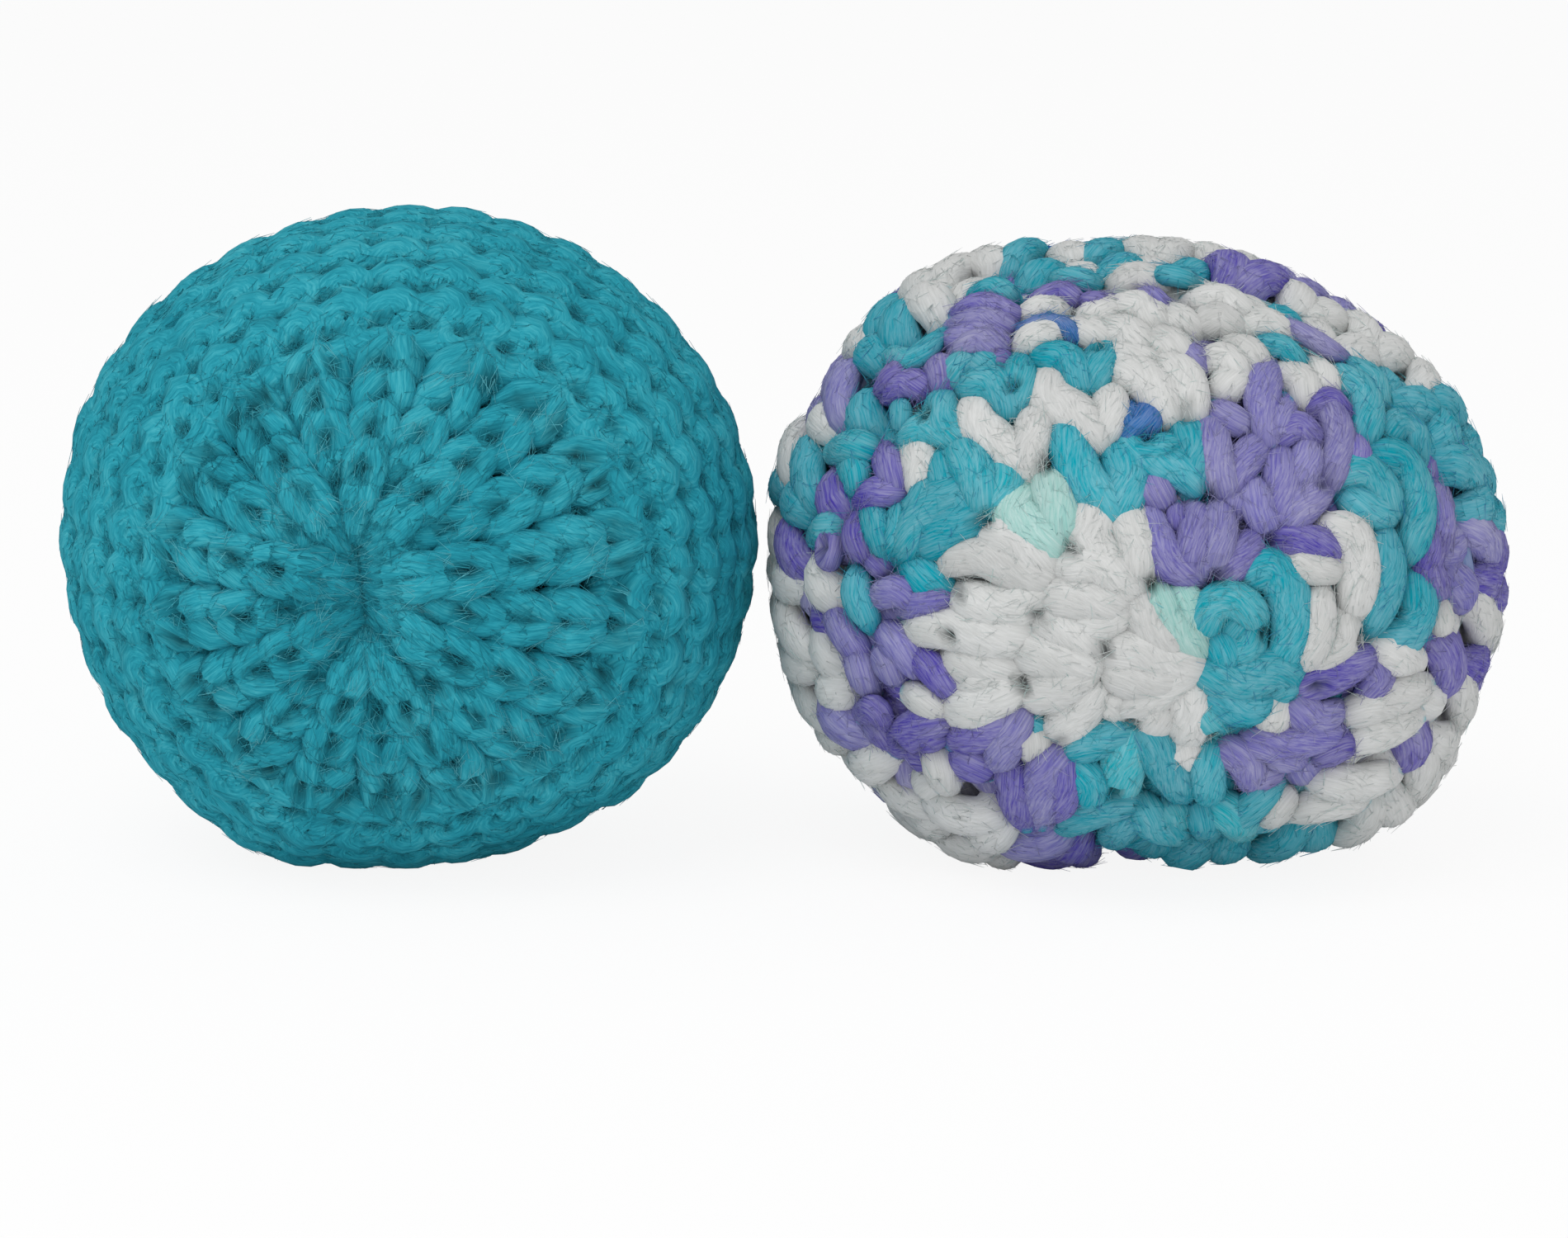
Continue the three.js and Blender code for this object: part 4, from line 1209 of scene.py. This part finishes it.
BACKS_SIDES, LOOP_SIDES = 8, 18
STITCH_PACE, BACKS_PACE = 0.35, 0.5
BACKS_KEY_STEP = 6
BACKS_SHADE = 0.85
crochet_yarn = yarn_material("crochet_yarn", (0.86, 0.14), dyed=True)
half = len(stitch_line) // 2
firsts = np.arange(len(stitches))[:, None] * len(STITCH) * SMOOTH
leg_keys = (firsts + np.array(LEGS_AND_HEAD) * SMOOTH).astype(int).ravel()
leg_ends = (firsts + np.array(LEG_ENDS) * SMOOTH).ravel()
stitch_dyes = dyed(stitch_line, leg_keys, leg_ends, STITCH_PACE)
back_keys = np.arange(0, BACKS_POINTS, BACKS_KEY_STEP)
back_dyes = dyed(back_line, back_keys, back_keys + BACKS_KEY_STEP / 2, BACKS_PACE)
for name, part in (("crochet_front_rounds", slice(0, half + 1)),
                   ("crochet_back_rounds", slice(half, None))):
    cover = spun(name, [stitch_line[part]], [stitch_girth[part]], STRAND_SIDES, crochet,
                 crochet_yarn, dyes=[stitch_dyes[part]], pressed=True)
    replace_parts(cover, "crochet_cover")
spun("crochet_stitch_backs", [back_line], [back_girth], BACKS_SIDES, crochet, crochet_yarn,
     dyes=[back_dyes * BACKS_SHADE])

# Along a laid loop the dye drifts towards its neighbour in the run. Of the three parts that the
# loops are split into, each takes every third loop.
DYE_PARTNER = {"w": "w", "t": "c", "c": "t", "l": "p", "p": "l", "m": "w", "b": "p"}
LOOP_DRIFT = (-0.15, 0.55)
LOOP_LIGHT = (0.9, 1.04)
LOOP_PARTS = 3
rng = np.random.default_rng(78)
laid_dyes = []
for dye, points, girth, spots in laid:
    drift = np.linspace(*rng.uniform(*LOOP_DRIFT, 2), len(points)).clip(0, 1)[:, None]
    tint = linear(DYES[dye]) * (1 - drift) + linear(DYES[DYE_PARTNER[dye]]) * drift
    laid_dyes.append(tint * rng.uniform(*LOOP_LIGHT))
for index in range(LOOP_PARTS):
    some = slice(index, None, LOOP_PARTS)
    cover = spun("crochet_laid_loops_" + str(index + 1), [loop[1] for loop in laid[some]],
                 [loop[2] for loop in laid[some]], LOOP_SIDES, crochet, crochet_yarn,
                 dyes=laid_dyes[some], pressed=True)

# Its brushed fibres have the colour of the strand that they leave. The shades are told apart as
# the eye would, by roughly the square root of their light.
FIBRE_ROWS = [("w", 0.0), ("m", 0.2), ("c", 0.35), ("t", 0.47), ("b", 0.6), ("k", 0.74), ("l", 0.84),
              ("p", 1.0)]
EYE_POWER = 0.45
CROCHET_FUZZ = 24000
CROCHET_FUZZ_SWAYS = (0.45, 0.7, 1.2)
CROCHET_FUZZ_SEED = 31
CROCHET_FIBRE_THICKNESS = 0.03
crochet_fibre = fibre_material("crochet_fibre", [(place, DYES[dye]) for dye, place in FIBRE_ROWS])
crochet_strands = [(stitch_line, stitch_girth)] + [(loop[1], loop[2]) for loop in laid]
all_dyes = np.concatenate([stitch_dyes] + laid_dyes) ** EYE_POWER
shades = np.array([linear(DYES[dye]) for dye, place in FIBRE_ROWS]) ** EYE_POWER
nearest = np.argmin(np.linalg.norm(all_dyes[:, None] - shades[None], axis=2), axis=1)
rows = np.array([place for dye, place in FIBRE_ROWS])[nearest].clip(*ROW_RANGE)
for index, sway in enumerate(CROCHET_FUZZ_SWAYS):
    fuzz("crochet_fuzz_" + str(index + 1), crochet, crochet_strands, CROCHET_FUZZ,
         CROCHET_FIBRE_THICKNESS, sway, crochet_fibre, rows,
         CROCHET_FUZZ_SEED + index)

# Yarn is drawn through the last loops of the knitted ball's two ends and of the crocheted ball's
# back, twice round, and pulled tight. It lies halfway through the cover's wall.
DRAWN_RADIUS = 0.55
DRAWN_SPREAD = 0.34
DRAWN_POINTS = 96
DRAWN_SIDES = 10


def drawn_yarn(node, ball, material, dyes=None):
    low, high = (np.array(corner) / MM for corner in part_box(node))
    half_width, half_height = (high - low)[[0, 2]] / 2 - DRAWN_RADIUS - DRAWN_SPREAD / 2
    t = np.linspace(0, 4 * math.pi, DRAWN_POINTS, endpoint=False)
    spread = 1 + DRAWN_SPREAD * np.cos(t / 2) / half_height
    line = ((low + high) / 2 + np.outer(np.cos(t) * spread * half_width, ball.right)
            + np.outer(np.sin(t) * spread * half_height, ball.up)
            + np.outer(np.sin(t / 2) * DRAWN_SPREAD, ball.pole))
    yarn = spun("drawn_" + node, [line], [np.full(len(t), DRAWN_RADIUS)], DRAWN_SIDES, ball, material,
                cyclic=True, dyes=dyes)
    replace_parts(yarn, node)


drawn_yarn("knit_front_gather_yarn", knit, knit_yarn)
drawn_yarn("knit_back_gather_yarn", knit, knit_yarn)
drawn_yarn("crochet_closing_yarn", crochet, crochet_yarn,
           [np.tile(linear(DYES["w"]), (DRAWN_POINTS, 1))])

# Inside each cover a disc of dark plain-woven cotton is gathered up over the pellets into a bag.
# Its neck stands at the back, and the cloth falls in folds that run towards it.
# One repeat of a wave texture, at its scale of 1, is taken as two threads of the weave.
WAVE_REPEAT = math.pi / 10
WEAVE_PITCH = 0.45
WEAVE_SHARE = 0.6
WEAVE_RELIEF = (0.5, 0.2)
SLUB_NOISE = (0.6, 5.0)
CLOTH_FOLDS = 13
CLOTH_FOLD_DEPTH = 0.32
FOLD_WANDER = 1.2
CRUMPLE_DEPTH, CRUMPLE_TURNS, CRUMPLE_SLANT = 0.4, 7, 5
NECK_REACH = 5.5
FLAT_NEAR_AXIS = 2
FACE_ANGLE, FACE_SHAPE = 0.7, 1.2
BAG_SMOOTHING = 2
cloth, finish, wire = new_material("pouch_cloth", roughness=0.95, shine=0.2)
flat = wire.attribute("cloth_place", "Vector")
wave = {"Vector": flat, "Scale": WAVE_REPEAT / (2 * WEAVE_PITCH)}
warp, weft = [wire.node("ShaderNodeTexWave", wave, "Fac", bands_direction=way) for way in "XY"]
over = warp * weft + (1 - warp) * (1 - weft)
tone = over * WEAVE_SHARE + flat.noise(*SLUB_NOISE) * (1 - WEAVE_SHARE)
tone.ramp([(0.2, "161c25"), (0.55, "222b37"), (0.9, "36424f")]).into(finish, "Base Color")
over.emboss(finish, *WEAVE_RELIEF)


def gathered_bag(name, node, ball):
    data = bpy.data.objects[node].data.copy()
    shape = bmesh.new()
    shape.from_mesh(data)
    bmesh.ops.remove_doubles(shape, verts=shape.verts, dist=WELD_DISTANCE)
    bmesh.ops.join_triangles(shape, faces=shape.faces, angle_face_threshold=FACE_ANGLE,
                             angle_shape_threshold=FACE_SHAPE)
    shape.to_mesh(data)
    shape.free()
    rough = added(name + "_rough", data)
    rough.modifiers.new("smooth", "SUBSURF").levels = BAG_SMOOTHING
    mesh = evaluated_mesh(rough)
    points = points_of(mesh) - ball.middle
    behind = -points @ ball.pole
    aside = points + behind[:, None] * ball.pole
    off_axis = np.linalg.norm(aside, axis=1)
    turn = np.arctan2(aside @ ball.up, aside @ ball.right)
    reach = np.linalg.norm(points, axis=1)
    polar = np.arccos(np.clip(-behind / reach, -1, 1))
    folds = np.sin(CLOTH_FOLDS * turn + FOLD_WANDER * np.sin(2 * turn)) * (polar / math.pi) ** 3
    crumple = np.sin(CRUMPLE_TURNS * turn + CRUMPLE_SLANT * polar) * np.sin(4 * polar)
    folds = folds + CRUMPLE_DEPTH * crumple * np.sin(polar)
    in_neck = (off_axis < NECK_REACH) & (behind > 0)
    outward = np.where(in_neck[:, None], unit(aside), unit(points))
    depth = CLOTH_FOLD_DEPTH * np.clip(off_axis / FLAT_NEAR_AXIS, 0, 1)
    move_points(mesh, points + outward * (folds * depth)[:, None] + ball.middle)
    spread = polar * reach
    place = np.stack([np.cos(turn) * spread, np.sin(turn) * spread, 0 * spread], 1)
    write_attribute(mesh, "cloth_place", "FLOAT_VECTOR", "vector", place)
    mesh.shade_smooth()
    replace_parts(placed(name, mesh, ball, cloth), node)


gathered_bag("knit_pellet_bag", "knit_pouch", knit)
gathered_bag("crochet_pellet_bag", "crochet_pouch", crochet)

# A pale cotton thread is wound four times round the neck of each bag and knotted on top. The knot
# and its two ends are given from the neck's middle: to the right, up and towards the back.
TIE_RADIUS = 0.36
TIE_WINDS = 4
TIE_CLEARANCE = 0.45
TIE_SIDES = 8
WIND_POINTS, KNOT_POINTS, END_STEPS = 24, 30, 5
KNOT_GAP, KNOT_RISE, KNOT_WIDTH, KNOT_HEIGHT = 0.25, 0.55, 0.3, 0.26
TIE_ENDS = (((-0.5, 0.5, -0.2), (-1.4, 0.5, -0.9), (-2.6, -0.1, -1.2), (-3.6, -0.9, -0.9)),
            ((0.5, 0.5, 0.2), (1.3, 0.6, -0.4), (2.2, 0.2, -1.2), (3.0, -0.3, -1.7)))
tie_thread = yarn_material("tie_thread", [(0.3, "8d897d"), (0.5, "a6a193"), (0.7, "c2bdb0")])


def neck_tie(name, node, ball):
    low, high = (np.array(corner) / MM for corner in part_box(node))
    outer = (high - low)[2] / 2 - TIE_RADIUS - TIE_CLEARANCE
    t = np.linspace(0, 2 * math.pi * TIE_WINDS, WIND_POINTS * TIE_WINDS)
    along = (t / t[-1] - 0.5) * TIE_RADIUS * 2 * (TIE_WINDS - 1)
    winds = np.stack([-np.sin(t) * outer, np.cos(t) * outer, along], 1)
    k = np.linspace(KNOT_GAP, 2 * math.pi - KNOT_GAP, KNOT_POINTS)
    knot = np.stack([KNOT_WIDTH * (np.sin(k) + 2 * np.sin(2 * k)),
                     outer + KNOT_RISE + KNOT_HEIGHT * (np.cos(k) - 2 * np.cos(2 * k)),
                     -KNOT_WIDTH * np.sin(3 * k)], 1)
    ends = [flowing(np.array(end) + (0, outer, 0), END_STEPS) for end in TIE_ENDS]
    lines = [(low + high) / 2 + np.outer(p[:, 0], ball.right) + np.outer(p[:, 1], ball.up)
             - np.outer(p[:, 2], ball.pole) for p in (winds, knot, *ends)]
    tie = spun(name, lines, [np.full(len(p), TIE_RADIUS) for p in lines], TIE_SIDES, ball, tie_thread)
    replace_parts(tie, node)


neck_tie("knit_bag_thread", "knit_pouch_tie", knit)
neck_tie("crochet_bag_thread", "crochet_pouch_tie", crochet)

# The bags are filled with loose pellets of natural plastic, cut from rod and tumbled, so each is
# a short round-edged cylinder. Each has its own place in the map.
PELLET_SPACING = 4.05
PELLET_LAYER = 0.82
PELLET_JITTER = 0.35
PELLET_RADIUS = 1.75
PELLET_HALF_LENGTH = 1.5
PELLET_DEPTH = 1.3
PELLET_BULGE, PELLET_EDGE = 1.27, 0.78
PELLET_NOISE = (260.0, 3.0)
PELLET_ROUGHNESS, PELLET_ROUGHNESS_SPREAD = 0.3, 0.3
PELLET_GLOW = 0.15
PELLET_GLOW_DEPTH = (1.0, 1.0, 0.8)
plastic, finish, wire = new_material("pellets")
cloud = wire.node("ShaderNodeTexCoord", None, "Object").noise(*PELLET_NOISE)
tone = cloud.ramp([(0.35, "e3ddcd"), (0.5, "efebdf"), (0.65, "f4f2ea")])
tone.into(finish, "Base Color")
(cloud * PELLET_ROUGHNESS_SPREAD + PELLET_ROUGHNESS).into(finish, "Roughness")
finish.inputs["Subsurface Weight"].default_value = PELLET_GLOW
finish.inputs["Subsurface Radius"].default_value = Vector(PELLET_GLOW_DEPTH) * MM


def one_pellet(name):
    """A ball with its two rings pushed out, which makes it a cylinder with rounded edges."""
    shape = bmesh.new()
    shape.loops.layers.uv.new("OFBake")
    bmesh.ops.create_uvsphere(shape, u_segments=8, v_segments=4, radius=1, calc_uvs=True)
    for vertex in shape.verts:
        height = vertex.co.z
        if 0.1 < abs(height) < 0.9:
            vertex.co = vertex.co * PELLET_BULGE
            vertex.co.z = math.copysign(PELLET_EDGE, height)
    size = (PELLET_RADIUS, PELLET_RADIUS, PELLET_HALF_LENGTH)
    bmesh.ops.scale(shape, vec=size, verts=shape.verts)
    return mesh_of(shape, name)


def loose_pellets(name, node, ball, seed):
    chance = np.random.default_rng(seed)
    low, high = (np.array(corner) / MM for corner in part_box(node))
    layer_height = PELLET_SPACING * PELLET_LAYER
    steps = [np.arange(low[k], high[k], PELLET_SPACING) for k in (0, 1)]
    levels = np.arange(low[2], high[2], layer_height)
    spots = np.stack(np.meshgrid(*steps, levels, indexing="ij"), -1).reshape(-1, 3)
    odd = np.round((spots[:, 2] - low[2]) / layer_height).astype(int) % 2
    spots[:, :2] += odd[:, None] * PELLET_SPACING / 2
    spots = spots + chance.uniform(-PELLET_JITTER, PELLET_JITTER, spots.shape)
    tree = BVHTree.FromObject(bpy.data.objects[node], bpy.context.evaluated_depsgraph_get())
    inside = []
    for spot in spots:
        nearest, normal, face, gap = tree.find_nearest(Vector(spot * MM))
        if (Vector(spot * MM) - nearest).dot(normal) < -PELLET_DEPTH * MM:
            inside.append(spot)
    one = one_pellet(name + "_one")
    heap = bmesh.new()
    for spot in inside:
        heap.from_mesh(one)
    mesh = mesh_of(heap, name)
    points = read(mesh, "vertices", "co", float).reshape(len(inside), -1, 3)
    turns = chance.normal(size=(len(inside), 4))
    turns = [np.array(Quaternion(q).normalized().to_matrix()) for q in turns]
    points = np.einsum("nvk,nwk->nvw", points, np.stack(turns)) + np.array(inside)[:, None]
    move_points(mesh, points)
    side = math.ceil(math.sqrt(len(inside)))
    map_layer = mesh.uv_layers["OFBake"].data
    spots = np.zeros(len(map_layer) * 2)
    map_layer.foreach_get("uv", spots)
    spots = spots.reshape(len(inside), -1, 2) * (1 - 2 * BAND_MARGIN) + BAND_MARGIN
    index = np.arange(len(inside))
    cell = np.stack([index % side, index // side], 1)[:, None]
    map_layer.foreach_set("uv", ((spots + cell) / side).astype(np.float32).ravel())
    mesh.shade_smooth()
    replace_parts(placed(name, mesh, ball, plastic), node)


loose_pellets("knit_loose_pellets", "knit_pellet_fill", knit, 51)
loose_pellets("crochet_loose_pellets", "crochet_pellet_fill", crochet, 52)
